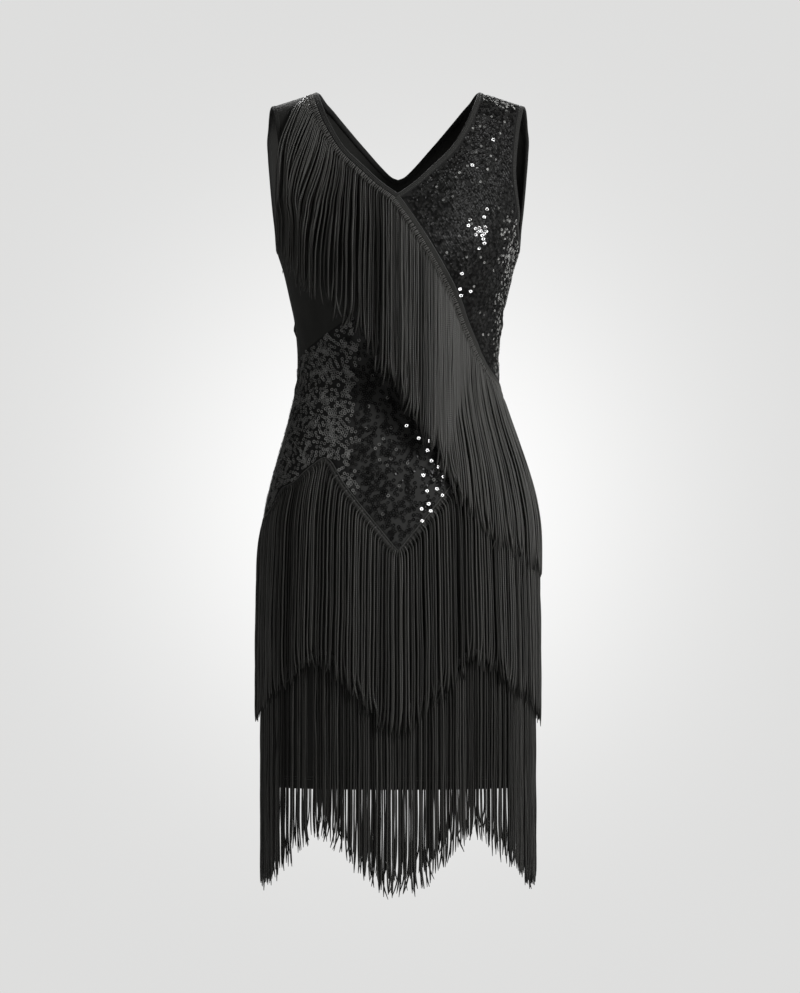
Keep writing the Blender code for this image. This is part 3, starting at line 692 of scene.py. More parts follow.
def weave_parts(tree):
    """What the mesh carries on its points: all of it, and its three parts."""
    place = node(tree, "ShaderNodeAttribute", attribute_name="weave").outputs["Vector"]
    parts = node(tree, "ShaderNodeSeparateXYZ", [(0, place)])
    return place, *parts.outputs


def add_bump(tree, shader, height, strength, distance):
    bump = node(tree, "ShaderNodeBump", [("Strength", strength), ("Distance", distance), ("Height", height)])
    tree.links.new(bump.outputs[0], shader.inputs["Normal"])


def knit_material(name, low, high, roughness, sheen, wale=1.15, course=0.95, painted_shade_side=None):
    """A fine stretch knit: rows of small loops, a little uneven in colour, with painted shade on one side if
    asked.
    """
    material, tree, shader = new_material(name, low, roughness, sheen, 0.45, 0.2)
    place, around, down, _ = weave_parts(tree)
    calc = partial(math_node, tree)
    ribs = calc("ABSOLUTE", calc("SINE", calc("MULTIPLY", around, math.pi / wale)))
    leaning = calc("ADD", down, calc("MULTIPLY", ribs, 0.45))
    loops = calc("SINE", calc("MULTIPLY", leaning, 2 * math.pi / course))
    stitch = calc("MULTIPLY", ribs, calc("MULTIPLY_ADD", loops, 0.5))
    fibres = noise(tree, place, 1.7, 3.0)
    share = calc("MULTIPLY", calc("ADD", noise(tree, place, 0.05, 4.0), fibres), 0.5, True)
    colour = mix_colours(tree, share, low, high)
    # Painted shade: the colour darkens towards one end of a span round the cloth
    if painted_shade_side:
        shade_end, lit_end, shade_colour = painted_shade_side
        fade = node(tree, "ShaderNodeMapRange", [(0, around), (1, shade_end), (2, lit_end)])
        colour = mix_colours(tree, fade.outputs[0], shade_colour, colour)
    tree.links.new(colour, shader.inputs["Base Color"])
    roughen(tree, shader, fibres, roughness - 0.08, roughness + 0.08)
    add_bump(tree, shader, stitch, 0.7, LOOP_DEPTH)
    return material


def cord_material(name, low, high, roughness, sheen, pitch=2.4, depth=0.00025, specular=0.5):
    """A satin cord twisted from fine yarns."""
    material, tree, shader = new_material(name, low, roughness, sheen, 0.35, specular)
    _, cosine, sine, length = weave_parts(tree)
    calc = partial(math_node, tree)
    phase = calc("MULTIPLY_ADD", length, 2 * math.pi / pitch)
    tree.links.new(calc("ARCTAN2", sine, cosine), phase.node.inputs[2])
    twist = calc("SINE", phase)
    spots = noise(tree, node(tree, "ShaderNodeTexCoord").outputs["Object"], 60.0, 3.0)
    share = calc("MULTIPLY_ADD", twist, 0.22)
    tree.links.new(spots, share.node.inputs[2])
    # A strand's shade squared is the squared length of what its points carry. It darkens the colour: at
    # random from strand to strand, and as painted shade on the under layers.
    shade = calc("ADD", calc("MULTIPLY", cosine, cosine), calc("MULTIPLY", sine, sine), True)
    colour = mix_colours(tree, share, low, high)
    tree.links.new(mix_colours(tree, shade, (0.0, 0.0, 0.0), colour), shader.inputs["Base Color"])
    tree.links.new(calc("MULTIPLY", shade, specular), shader.inputs["Specular IOR Level"])
    roughen(tree, shader, spots, roughness - 0.10, roughness + 0.10)
    add_bump(tree, shader, twist, 0.55, depth)
    return material


def sequin_material(name, low, high, roughness, specular=0.5):
    """Sequin film, from black to pale by the value that each ring carries: its own tone, and painted glints
    and reflections on the pale rings.
    """
    material, tree, shader = new_material(name, low, roughness, specular=specular)
    tone_and_painted_glint = weave_parts(tree)[1]
    tree.links.new(mix_colours(tree, tone_and_painted_glint, low, high), shader.inputs["Base Color"])
    roughen(tree, shader, tone_and_painted_glint, roughness * 0.7, roughness * 1.5)
    return material


# Each knit: darkest and palest colour, roughness, sheen, and the pitch of its wales and courses
knit = knit_material("plain_knit", (0.010, 0.010, 0.0092), (0.0165, 0.0165, 0.0152), 0.85, 0.03)
skirt_knit = knit_material("skirt_knit", (0.006, 0.006, 0.0055), (0.010, 0.010, 0.009), 0.85, 0.04)
net_knit = knit_material(
    "sequin_ground", (0.0035, 0.0035, 0.0034), (0.007, 0.007, 0.0068), 0.8, 0.0, 1.6, 1.6)
# The midriff's ground has painted shade: it darkens towards the wearer's right, from 44 to 60 mm round from
# the centre line
midriff_knit = knit_material(
    "sequin_ground_midriff", (0.016, 0.016, 0.0155), (0.028, 0.028, 0.027), 0.8, 0.0, 1.6, 1.6,
    (-60.0, -44.0, (0.004, 0.004, 0.0038)))
binding_knit = knit_material(
    "binding_knit", (0.009, 0.009, 0.0085), (0.016, 0.016, 0.015), 0.85, 0.05, 0.9, 0.9)
tape_rib = knit_material("tape_rib", (0.018, 0.018, 0.0168), (0.032, 0.032, 0.030), 0.7, 0.1, 0.8, 1.3)
# Each cord: the same, with the pitch of its twist and the depth between its yarns
cord = cord_material("fringe_cord", (0.026, 0.0256, 0.023), (0.046, 0.0452, 0.041), 0.45, 0.05)
thread = cord_material(
    "header_thread", (0.060, 0.059, 0.055), (0.100, 0.098, 0.092), 0.5, 0.05, 1.2, 0.00012)
stitch_thread = cord_material(
    "stitch_thread", (0.022, 0.022, 0.020), (0.044, 0.044, 0.041), 0.55, 0.05, 0.7, 0.0001)
# The films' pale end is painted glint and painted reflection, taken by the rings that carry it
sequin_fine = sequin_material("sequin_film_fine", (0.004, 0.004, 0.0039), (0.32, 0.32, 0.31), 0.4, 0.05)
sequin_black = sequin_material("sequin_film", (0.0025, 0.0025, 0.0025), (0.32, 0.32, 0.31), 0.36, 0.12)
# The tipped sequins' film is painted pale: a painted glint over their real reflection of the small lamp
sequin_glint = sequin_material("sequin_film_painted_glint", (0.3, 0.3, 0.295), (0.4, 0.4, 0.395), 0.07)

# The cloth panels
UNDER_BINDING = 3.0
UNDER_TAPE = 3.0
NECK = {side: neck_halves(side) for side, _ in SIDES}


def neck_line(side, distance):
    right, left = NECK[side]
    return offset(np.concatenate([right, left[1:]]), distance, 0, (-1.0, 0.0), (1.0, 0.0))


def armhole_line(side, hand, distance):
    edge = armhole(side, hand)
    if hand < 0:
        return offset(edge[::-1], distance, 0, (0.0, 1.0), (1.0, 0.0))
    return offset(edge, distance, 0, (-1.0, 0.0), (0.0, 1.0))


def fit_side(side, line, index, hand):
    """Puts the end of a line exactly on the side seam."""
    line = line.copy()
    line[index, 0] = around_of(side, np.array(hand * HALF_SPAN), line[index, 1])
    return line


def pinned_armhole(side, hand, distance):
    return fit_side(side, armhole_line(side, hand, distance), 0 if hand < 0 else -1, hand)


front_neck = neck_line(-1, UNDER_BINDING)
v_index = len(NECK[-1][0]) - 1
diagonal = curve(-1, DIAGONAL)
under_tape = fit_side(-1, offset(diagonal, UNDER_TAPE), -1, 1)
under_tape[0] = front_neck[v_index]
slant = fit_side(-1, curve(-1, SLANT_SEAM), -1, -1)
meeting = np.argmin(np.linalg.norm(under_tape - slant[0], axis=1))
slant[0] = under_tape[meeting]
hip, skirt = ({side: zigzag(side, table) for side, _ in SIDES} for table in (HIP_ZIGZAG, SKIRT_ZIGZAG))
front_armhole, back_armhole = ({hand: pinned_armhole(side, hand, UNDER_BINDING) for hand, _ in HANDS}
                               for side, _ in SIDES)
hem_down = float(down_of(HEM_DROP))
HEM_STEP = 4


def hem_line(side):
    half = float(around_of(side, np.array(HALF_SPAN), np.array(hem_down)))
    return pair(np.linspace(half, -half, int(2 * half / HEM_STEP) + 1), hem_down)


cloth("bodice_front_left", -1, [
    front_neck[v_index:], front_armhole[1][1:],
    side_seam(-1, 1, front_armhole[1][-1, 1], under_tape[-1, 1])[1:-1], under_tape[:0:-1],
], net_knit, "sequin_upper")
cloth("bodice_front_right", -1, [
    front_neck[:v_index + 1], under_tape[1:meeting + 1], slant[1:],
    side_seam(-1, -1, slant[-1, 1], front_armhole[-1][0, 1])[1:-1], front_armhole[-1],
], knit, "plain_knit")
cloth("midriff_front", -1, [
    slant[::-1], under_tape[meeting + 1:],
    side_seam(-1, 1, under_tape[-1, 1], hip[-1][-1, 1])[1:-1], hip[-1][::-1],
    side_seam(-1, -1, hip[-1][0, 1], slant[-1, 1])[1:-1],
], midriff_knit, "sequin_midriff")
for side, word in SIDES:
    cloth("skirt_" + word, side, [
        hip[side], side_seam(side, 1, hip[side][-1, 1], hem_down)[1:-1], hem_line(side),
        side_seam(side, -1, hem_down, hip[side][0, 1])[1:-1],
    ], skirt_knit, "skirt_knit")
cloth("bodice_back", 1, [
    neck_line(1, UNDER_BINDING), back_armhole[1][1:],
    side_seam(1, 1, back_armhole[1][-1, 1], hip[1][-1, 1])[1:-1], hip[1][::-1],
    side_seam(1, -1, hip[1][0, 1], back_armhole[-1][0, 1])[1:-1], back_armhole[-1],
], knit, "plain_knit")

# Bindings: a folded band with two stitched grooves
BINDING_PROFILE = (
    # distance in from the free edge, height over the cloth
    (5.6, -0.1), (5.3, 0.65), (4.7, 0.95), (4.2, 0.55), (3.7, 0.95), (3.1, 1.05), (2.6, 0.6), (2.1, 1.05),
    (1.2, 1.0), (0.4, 0.55), (0.0, -0.2), (0.15, -1.1), (0.9, -1.9), (3.0, -2.1), (5.2, -1.9), (5.5, -1.2),
)
GROOVES = (4.2, 2.6)
HEM_ROWS = (11, 14)


def stitches(side, line, pitch=3.0, length=2.1, radius=0.26, height=0.55):
    """A row of small stitches along a line on the cloth."""
    marks = even(line, pitch)
    way = unit(np.gradient(marks, axis=0))
    share = np.array([-0.5, -0.35, 0.0, 0.35, 0.5])
    lift = np.array([-0.25, 0.1, 0.28, 0.1, -0.25])
    places = marks[:, None, :] + way[:, None, :] * (share * length)[None, :, None]
    path = lay(side, places, height + lift[None, :] + np.zeros((len(marks), 1)))
    return tubes(path, radius, 5, facing(side, places))


def binding(name, node_name, edge_line):
    """A ring of the band, from its front and back halves."""
    halves = [strip(side, [edge_line(side, distance) for distance, _ in BINDING_PROFILE],
                    [height for _, height in BINDING_PROFILE], False) for side, _ in SIDES]
    return piece_of(name, halves, binding_knit, "binding", node_name, welded=True)


neck_ring = binding("binding_neck", "neck_binding", neck_line)
arm_rings = {hand: binding("binding_armhole_" + word, "armhole_binding_" + word,
                           lambda side, distance, hand=hand: pinned_armhole(side, hand, distance))
             for hand, word in HANDS}
rows = []
for groove in GROOVES:
    rows += [stitches(side, neck_line(side, groove)) for side, _ in SIDES]
    rows += [stitches(side, armhole_line(side, hand, groove)) for hand, _ in HANDS for side, _ in SIDES]
binding_stitches = piece_of("stitches_binding", rows, stitch_thread, "binding")
hem_stitches = piece_of("stitches_hem", [
    stitches(side, hem_line(side)[-3:1:-1] - (0, up), 3.4, 2.3, 0.24, 0.1)
    for side, _ in SIDES for up in HEM_ROWS
], stitch_thread, "skirt_knit")

# The side seams and shoulder seams, each a rolled edge under the panels' joint
SEAM_ROLL = 0.9
SEAM_DEPTH = -0.5
SEAM_OVERLAP = 1.5
rows = []
for hand, _ in HANDS:
    under_arm = front_armhole[hand][0 if hand < 0 else -1, 1]
    lines = [side_seam(-1, hand, under_arm - SEAM_OVERLAP, hem_down - 0.5)]
    x = np.linspace(NECK_POINT_X + UNDER_BINDING - SEAM_OVERLAP,
                    ARMHOLE_FRONT[0][0] - UNDER_BINDING + SEAM_OVERLAP, 14)
    lines += [pair(hand * x, down) for down in (-1.3, 0, 1.3)]
    rows += [tubes(lay(-1, line, SEAM_DEPTH)[None], SEAM_ROLL, 8, facing(-1, line)[None], 0.5)
             for line in lines]
seams = piece_of("seams_side_shoulder", rows, stitch_thread, "plain_knit")

# The ridged tape down the diagonal
TAPE_PROFILE = [(0.2, 0.1), (0.5, 1.2)]
for ridge in range(4):
    start = 0.9 + ridge * 1.25
    TAPE_PROFILE += [(start, 1.3), (start + 0.45, 2.1), (start + 0.9, 1.3)]
TAPE_PROFILE += [(6.0, 1.2), (6.2, 0.1)]
tape_rails = [offset(diagonal, distance)[1:-1] for distance, _ in TAPE_PROFILE]
tape = piece_of("tape_diagonal", [strip(-1, tape_rails, [height for _, height in TAPE_PROFILE])],
                tape_rib, "tape", "diagonal_tape")

# Fringe
STEP_DOWN = 3.0
SURFACE_DROP = 130.0
SPREAD_DROP = 200.0
CORD_RADIUS = 1.04
FINE_SPAN = (-85.0, -30.0)
# How much painted light the top fringe's strands get, by x: they are lighter at the shoulder and towards the
# wearer's left side
PAINTED_LIGHT_BY_X = np.array([(-80.0, 1.0), (-60.0, 0.0), (0.0, 0.0), (60.0, 1.0)])
SLIT_HALF = 2.2
SLITS = (-129.0, -118.0, -100.5)
TIP_TAPER = 16.0
MARK_JITTER = 0.27
# The fall over which a strand comes off its header, and the lean at which it strays in full
SETTLE_FALL = 14.0
STRAY_LEAN = 12.0
# Along a strand, in mm gone: where it starts to move freely, and over what length
FREE_FROM, FREE_OVER = 12, 60
PULL_FROM, PULL_OVER = 8, 50
BUNCH_REACH = 9
# Sideways waves (length, size), and the waves in and out
WAVES = ((60.0, 0.3), (150.0, 0.9))
BOB, BOB_LENGTH, BOB_IN = 0.2, 70, -0.5
# How many neighbours curl together, where a head thickens, and how thick a tip is
TOGETHER = (2, 3, 3, 4, 6)
HEAD_END = (0, 6, 11)
TIP_SHARE = 0.72
HEAD_STOPS = (0.0, 2.2, 4.6, 7.2, 10.2, 14.0, 19.0)


def at(rail, marks):
    """Points at fractional marks along a rail."""
    low = np.clip(marks.astype(int), 0, len(rail) - 2)
    share = (marks - low)[:, None]
    return rail[low] * (1 - share) + rail[low + 1] * share


def surface_turn(x, z):
    """The turn and the distance down of a point of the form seen from the front."""
    drop = np.maximum(-z, 0)
    for _ in range(12):
        drop = np.maximum(shoulder_rise(x, drop) - z, 0)
    return turn_at(x, drop), down_of(drop)


def hang(side, roots, far_x, tip_drop, clearance, lift, root_height):
    """Paths of strands that lie on the form near the top and hang free below, one array each."""
    x, y, z = roots.T.copy()
    root_x, root_z = x.copy(), z.copy()
    swept = np.zeros(len(x))
    fall, sudden = lookup(FAN, root_x, 2), lookup(FAN, root_x, 3)
    steps, drops, ends = [roots.copy()], [-z], np.full(len(x), -1.0)
    while np.any(ends < 0):
        z = z - STEP_DOWN * np.clip((3 - z) / 30, 0.2, 1)
        fallen = root_z - z
        done = np.clip(fallen / fall, 0, 1)
        sweep = (far_x - root_x) * (sudden * done * (2 - done) + (1 - sudden) * done ** 2 * (3 - 2 * done))
        x, swept = x + sweep - swept, sweep
        drop = -z
        settled = 1 - np.exp(-fallen / SETTLE_FALL)
        off = root_height + (lookup(clearance, drop) + lift - root_height) * settled
        a, down = surface_turn(x, z)
        on_form = form(side, a, down) + form_normal(side, a, down) * off[:, None]
        wide = level(drop, 1) + off
        deep = level(drop, depth_column(side)) + np.maximum(relief(side, x, drop), 0) + off
        across = (np.abs(x) / wide) ** POWER
        reach = side * np.maximum(np.abs(y), deep * np.maximum(1 - across, 0) ** (1 / POWER))
        grow = np.maximum((across + (np.abs(y) / deep) ** POWER) ** (-1 / POWER), 1)
        upper, middle = drop < SURFACE_DROP, drop < SPREAD_DROP
        y = np.where(upper, on_form[:, 1], np.where(middle, reach, y * grow))
        x = np.where(middle, x, x * grow)
        steps.append(np.where(upper[:, None], on_form, np.stack([x, y, z], axis=1)))
        drops.append(drop)
        limit = tip_drop(x)
        now = (ends < 0) & (drop >= limit)
        share = (limit - drops[-2]) / (drop - drops[-2])
        ends[now] = (len(drops) - 2 + np.clip(share, 0, 1))[now]
    steps = np.array(steps)
    paths = []
    for i, end in enumerate(ends):
        whole = int(end)
        last = steps[whole, i] * (1 - end + whole) + steps[min(whole + 1, len(steps) - 1), i] * (end - whole)
        paths.append(np.concatenate([steps[:whole + 1, i], last[None]]))
    return paths


def resample(paths, sections):
    """The same number of sections on every path, closest together at its head."""
    made = np.zeros((len(paths), sections, 3))
    for i, path in enumerate(paths):
        gone = travelled(path)
        tail = np.linspace(HEAD_STOPS[-1], gone[-1], sections - len(HEAD_STOPS) + 1)[1:]
        stops = np.concatenate([HEAD_STOPS, tail])
        made[i] = np.stack([np.interp(stops, gone, column) for column in path.T], axis=1)
    for _ in range(2):
        made[:, 1:-1] = made[:, 1:-1] * 0.5 + (made[:, :-2] + made[:, 2:]) * 0.25
    return made


def outward_at(side, points):
    """The outward direction of the form beside each point."""
    x, y, z = points[..., 0], points[..., 1], points[..., 2]
    wide, deep = level(-z, 1), level(-z, depth_column(side))
    flat = unit(np.stack([signed_power(x, POWER - 1) / wide ** POWER,
                          signed_power(y, POWER - 1) / deep ** POWER, np.zeros(x.shape)], axis=-1))
    upper = -z < SURFACE_DROP
    if upper.any():
        a, down = surface_turn(x[upper], z[upper])
        flat[upper] = form_normal(side, a, down)
    return flat


def sway(count, sections, reach, knots=7):
    """A smooth random sideways drift, shared by neighbours."""
    field = rng.normal(size=(count + 2 * reach, knots))
    window = np.ones(2 * reach + 1) / math.sqrt(2 * reach + 1)
    field = np.stack([np.convolve(field[:, k], window, "valid") for k in range(knots)], axis=1)
    spots = np.linspace(0, 1, knots)
    where = np.linspace(0, 1, sections)
    return np.array([np.interp(where, spots, row) for row in field])


def strands(side, seam, marks, distances, heights, tips, clearance, lift, look, far=None, more=None):
    """Strands sewn to a seam: they start square to it, bend and hang. Returns their tubes' points, weave and
    faces.
    """
    rails = [offset(seam, distance, look["spread"], look.get("start")) for distance in distances]
    places = np.stack([at(rail, marks) for rail in rails], axis=1)
    if more is not None:
        places = np.concatenate([more, places])
    head = lay(side, places, np.broadcast_to(heights, places.shape[:2]))
    for slit in look.get("slits", ()):
        head = head[np.abs(head[:, -1, 0] - slit) > SLIT_HALF]
    count = len(head)
    roots = head[:, -1]
    far_x = roots[:, 0] if far is None else lookup(far, roots[:, 0])
    leaning = np.clip(np.abs(far_x - roots[:, 0]) / STRAY_LEAN, 0, 1)
    far_x = far_x + leaning * rng.normal(0, look.get("stray", 0.0), count)
    uneven = np.clip(rng.normal(0, look["uneven"], count), -3 * look["uneven"], 2 * look["uneven"])
    uneven += look["rhythm"] * np.sin(np.arange(count) * 0.9) * np.cos(np.arange(count) * 0.37)
    table = TIPS[tips]
    signed = table[0, 0] < 0
    paths = hang(side, roots, far_x, lambda x: lookup(table, x if signed else np.abs(x)) + uneven,
                 np.array(clearance, float), lift(count), heights[-1])
    paths = [np.concatenate([head[i, :-1], path]) for i, path in enumerate(paths)]
    sections = look["sections"]
    path = resample(paths, sections)
    gone = travelled(path)
    free = np.clip((gone - FREE_FROM) / FREE_OVER, 0, 1)
    # Neighbours draw together in small bunches
    sizes = rng.choice(look["bunch"], size=count)
    bunch = np.repeat(np.arange(count), sizes)[:count]
    members = np.bincount(bunch)
    centre = pair(*([np.bincount(bunch, path[:, s, k]) / members for s in range(sections)] for k in (0, 1)))
    centre = centre.transpose(1, 0, 2)[bunch]
    pull = look["pull"] * np.clip((gone - PULL_FROM) / PULL_OVER, 0, 1)[..., None]
    pull = pull * rng.uniform(0.5, 1.0, (count, 1, 1))
    near = np.linalg.norm(centre - path[..., :2], axis=2, keepdims=True) < BUNCH_REACH
    path[..., :2] += (centre - path[..., :2]) * pull * near
    outward = outward_at(side, path)
    way = unit(np.gradient(path, axis=1))
    across = unit(np.cross(way, outward))
    drift = look["sway"] * sway(count, sections, 3, 4) * free
    for length, size in WAVES:
        stretch = rng.uniform(0.75, 1.3, (count, 1)) * length
        phase = rng.uniform(0, 2 * math.pi, (count, 1))
        strength = rng.uniform(0.3, 1.3, (count, 1)) * size
        drift += strength * np.sin(2 * math.pi * gone / stretch + phase) * free * look["wave"]
    # The tips curl, several neighbours the same way
    curl = np.clip(1 - (gone[:, -1:] - gone) / look["curl_reach"], 0, 1) ** 2
    together = np.repeat(rng.normal(0, 1, count), rng.choice(TOGETHER, size=count))[:count, None]
    turned = 0.8 * together + rng.normal(0, 1, (count, 1)) * np.where(rng.random((count, 1)) < 0.3, 1.6, 0.5)
    drift += curl * turned * look["curl"]
    bob = BOB * np.sin(2 * math.pi * gone / BOB_LENGTH + rng.uniform(0, 6.28, (count, 1))) * free
    bob += look["bulge"] * (sway(count, sections, 4) * free)
    path = path + across * drift[..., None] + outward * np.maximum(bob, BOB_IN)[..., None]
    radius = CORD_RADIUS * look.get("thick", 1.0) * rng.uniform(0.86, 1.1, (count, 1))
    radius = np.repeat(radius, sections, axis=1)
    radius *= np.interp(roots[:, :1], FINE_SPAN, (look.get("fine", 1.0), 1.0))
    radius *= np.interp(gone, HEAD_END, (look["head"], look["head"], 1.0))
    radius *= np.interp(gone[:, -1:] - gone, (0, TIP_TAPER), (TIP_SHARE, 1.0))
    radius[:, -1] *= 0.5
    # Each strand's shade darkens its colour: at random, and as painted shade for the under layers
    shade = rng.uniform(*look["shade"], count)
    # Painted light: strands lighter at the shoulder and towards the wearer's left side
    shade += (1 - shade) * look.get("painted_light", 0.0) * lookup(PAINTED_LIGHT_BY_X, roots[:, 0])
    return tubes(path, radius, look["sides"], outward, shade)


def across_marks(seam, pitch, along=False, shift=0.0, reach=8.8):
    """Fractional marks on a seam at an even pitch, along it or round the body where the strands hang."""
    if along:
        measure = travelled(seam)
    else:
        measure = np.maximum.accumulate(offset(seam, reach, 4)[:, 0])
        measure = measure - measure[0]
    count = int(measure[-1] / pitch)
    edge = (measure[-1] - count * pitch) / 2
    where = edge + pitch * (np.arange(count) + 0.5 + shift)
    where = where + rng.uniform(-MARK_JITTER, MARK_JITTER, count) * pitch
    return np.interp(np.clip(where, 0.5, measure[-1] - 0.5), measure, np.arange(len(seam)))


def header_band(side, seam, near, far_edge, look_start=None, height=0.55):
    """The flat knitted strip that the strands hang from."""
    steps = np.array([near, near + 0.3, (near + far_edge) / 2, far_edge - 0.3, far_edge])
    rails = [offset(seam, distance, 4, look_start) for distance in steps]
    return strip(side, rails, (0.05, height, height + 0.15, height, 0.05))


def hatch(side, seam, near, far_edge, pitch, radius, look_start=None, height=1.05):
    """Short threads square to the seam, over the header."""
    marks = across_marks(seam, pitch, True)
    rails = [offset(seam, distance, 4, look_start) for distance in np.linspace(near, far_edge, 5)]
    places = np.stack([at(rail, marks) for rail in rails], axis=1)
    arch = height + np.array([-0.5, 0.0, 0.15, 0.0, -0.5])
    path = lay(side, places, np.broadcast_to(arch, places.shape[:2]))
    return tubes(path, radius, 5, facing(side, places))


def layer(low, high):
    """How far the strands of one layer stand off what is under them."""
    return lambda count: rng.uniform(low, high, count)


# How strands look: unevenness of their tips, bunching, sway, waves, curl of the tips, thickness, shade (a
# darkening at random, and painted shade in the under layers)
BASE_LOOK = {
    "spread": 4, "uneven": 3.0, "rhythm": 2.0, "sections": 34, "bunch": (1, 1, 2, 2, 3), "pull": 0.28,
    "sway": 0.42, "wave": 0.3, "curl": 2.6, "curl_reach": 34.0, "bulge": 0.2, "head": 0.66, "sides": 6,
    "shade": (0.6, 1.0),
}
# The under layer is darker: painted shade for strands that hang deep in the fringe
UNDER_LOOK = dict(BASE_LOOK, sections=24, sides=5, uneven=6.0, pull=0.2, shade=(0.4, 0.62))

# The top tier, from the shoulder along the neck and down the diagonal
TOP_SKIP = 4
FAN_ROOTS = 36
top_seam = np.concatenate([NECK[-1][0][TOP_SKIP:], diagonal[1:]])
top_start = (-1.0, 0.0)
# The top fringe's strands carry painted light: lighter at the shoulder and towards the wearer's left side
top_look = dict(BASE_LOOK, start=top_start, bunch=(1, 2, 2, 2, 3), pull=0.36, sway=0.6, wave=0.35, curl=2.8,
                head=0.75, thick=1.04, fine=0.8, shade=(0.4, 0.94), painted_light=0.8, uneven=5.0, rhythm=4.0,
                stray=2.2)
top_clearance = ((0, 1.9), (370, 2.6), (425, 6.6), (560, 7.4))
top_distances = (9.8, 10.8, 11.8, 12.8)
top_heights = np.array([0.5, 0.9, 1.4, 1.9])
SHOULDER_ROOTS = np.arange(-115.0, -106.0, 3.3)
shoulder_more = np.stack([
    places_of(-1, SHOULDER_ROOTS + lean, np.full(len(SHOULDER_ROOTS), drop))
    for lean, drop in ((1.5, 6.0), (1.0, 7.0), (0.5, 8.0), (0.0, 9.0))
], axis=1)
top_marks = across_marks(top_seam, 3.05, True)
# The strands that fan out over the shoulder stand closer together at their roots
fan_marks = across_marks(top_seam, 5.2, True, 0.3)
top_marks = np.sort(np.concatenate([top_marks, fan_marks[fan_marks < FAN_ROOTS]]))
# The top fringe's under layer is darker: painted shade
top_under = dict(top_look, sections=26, sides=5, uneven=9.0, pull=0.1, shade=(0.4, 0.55))
fringe_upper = piece_of("fringe_upper", [
    strands(-1, top_seam, top_marks, top_distances, top_heights, "upper", top_clearance, layer(0.9, 3.2),
            top_look, FAN, shoulder_more),
    strands(-1, top_seam, across_marks(top_seam, 3.6, True, 0.5), top_distances, top_heights * 0.8, "upper",
            top_clearance, layer(-0.4, 0.2), top_under, FAN),
], cord, "fringe", "fringe_tier_1")
header_upper = piece_of("fringe_upper_header", [header_band(-1, top_seam, 5.9, 11.4, top_start, 0.9)],
                        skirt_knit, "fringe")
hatch_upper = piece_of("fringe_upper_hatch", [hatch(-1, top_seam, 6.0, 11.8, 2.3, 0.55, top_start, 1.95)],
                       thread, "fringe")

# The two zigzag tiers, front and back
fringes, headers = {}, {}
MIDDLE_CLEARANCE = {
    -1: ((400, 2.6), (520, 3.2), (620, 6.0), (740, 6.8)),
    1: ((400, 4.2), (520, 4.4), (620, 6.0), (740, 6.8)),
}
LOWER_CLEARANCE = ((630, 1.0), (740, 1.2), (925, 1.7))
seam_distances = (1.7, 3.4, 5.2, 6.8, 8.0, 8.8)
seam_heights = np.array([0.9, 1.35, 1.55, 1.7, 1.9, 2.1])
# The lowest tier's strands are a little darker, and its under layer much darker: painted shade
lower_look = dict(BASE_LOOK, sections=36, curl=2.2, thick=0.92, shade=(0.5, 0.95), slits=SLITS)
lower_under = dict(UNDER_LOOK, sections=28, shade=(0.3, 0.6), slits=SLITS)
for side, word in SIDES:
    tiers = (
        # tier, node, seam, clearance, and for each layer: pitch, shift, first station, rise, stand-off, look
        ("middle", "fringe_tier_2_", hip[side], MIDDLE_CLEARANCE[side],
         ((3.1, 0.0, 0, 1.0, (1.2, 2.6), BASE_LOOK), (3.6, 0.3, 2, 0.8, (-0.3, 0.5), UNDER_LOOK))),
        ("lower", "fringe_tier_3_", skirt[side], LOWER_CLEARANCE,
         ((3.0, 0.0, 0, 0.8, (0.2, 1.5), lower_look), (6.0, 0.3, 2, 0.6, (-0.6, -0.2), lower_under))),
    )
    for tier, node_name, seam, clearance, layers in tiers:
        parts = [strands(side, seam, across_marks(seam, pitch, shift=shift), seam_distances[first:],
                         seam_heights[first:] * rise, tier, clearance, layer(*stand_off), look)
                 for pitch, shift, first, rise, stand_off, look in layers]
        fringes[tier + "_" + word] = piece_of(
            "fringe_" + tier + "_" + word, parts, cord, "fringe", node_name + word)
    for tier, _, seam, _, _ in tiers:
        headers[tier + "_" + word] = piece_of("fringe_" + tier + "_" + word + "_header",
                                              [header_band(side, seam, 1.0, 7.6)], tape_rib, "fringe")

# A thin piping on the hip seam
for side, word in SIDES:
    line = offset(hip[side], 0.5)[1:-1]
    roll = tubes(lay(side, line, 0.95)[None], 0.6, 6, facing(side, line)[None])
    piece_of("piping_hip_" + word, [roll], stitch_thread, "binding")


# Sequins
RING_SIDES = 10
RING_RADIUS = 2.1
RING_HOLE = 0.88


def ripple(places, size, seed, waves=9):
    """Smooth noise of about unit strength over the cloth."""
    own = np.random.default_rng(seed)
    total = np.zeros(len(places))
    for _ in range(waves):
        turn, phase, scale = own.uniform(0, 2 * math.pi), own.uniform(0, 2 * math.pi), own.uniform(0.7, 1.5)
        way = np.array([math.cos(turn), math.sin(turn)]) * 2 * math.pi * scale / size
        total += np.sin(places @ way + phase)
    return total * math.sqrt(2 / waves)


def rows_in(outline, turn, gap, pitch, warp, warp_size, seed, margin):
    """Places in wandering rows inside an outline, with the direction of their row."""
    middle = (outline.min(axis=0) + outline.max(axis=0)) / 2
    reach = np.linalg.norm(outline - middle, axis=1).max() + 10
    across, along = np.arange(-reach, reach, gap), np.arange(-reach, reach, pitch)
    grid_across, grid_along = np.meshgrid(across, along, indexing="ij")
    grid_along = grid_along + pitch * rng.random((len(across), 1))
    way = np.array([math.cos(turn), math.sin(turn)])
    side_way = np.array([-way[1], way[0]])
    places = middle + grid_along.ravel()[:, None] * way + grid_across.ravel()[:, None] * side_way
    shift = warp * ripple(places, warp_size, seed)
    moved = places + shift[:, None] * side_way
    step = warp * (ripple(places + way, warp_size, seed) - ripple(places - way, warp_size, seed)) / 2
    rows = unit(way + step[:, None] * side_way)
    moved = moved + rng.normal(0, 0.22, moved.shape)
    keep = inside(moved, outline)
    moved, rows = moved[keep], rows[keep]
    keep = distance_to(moved, outline) > margin
    return moved[keep], rows[keep]


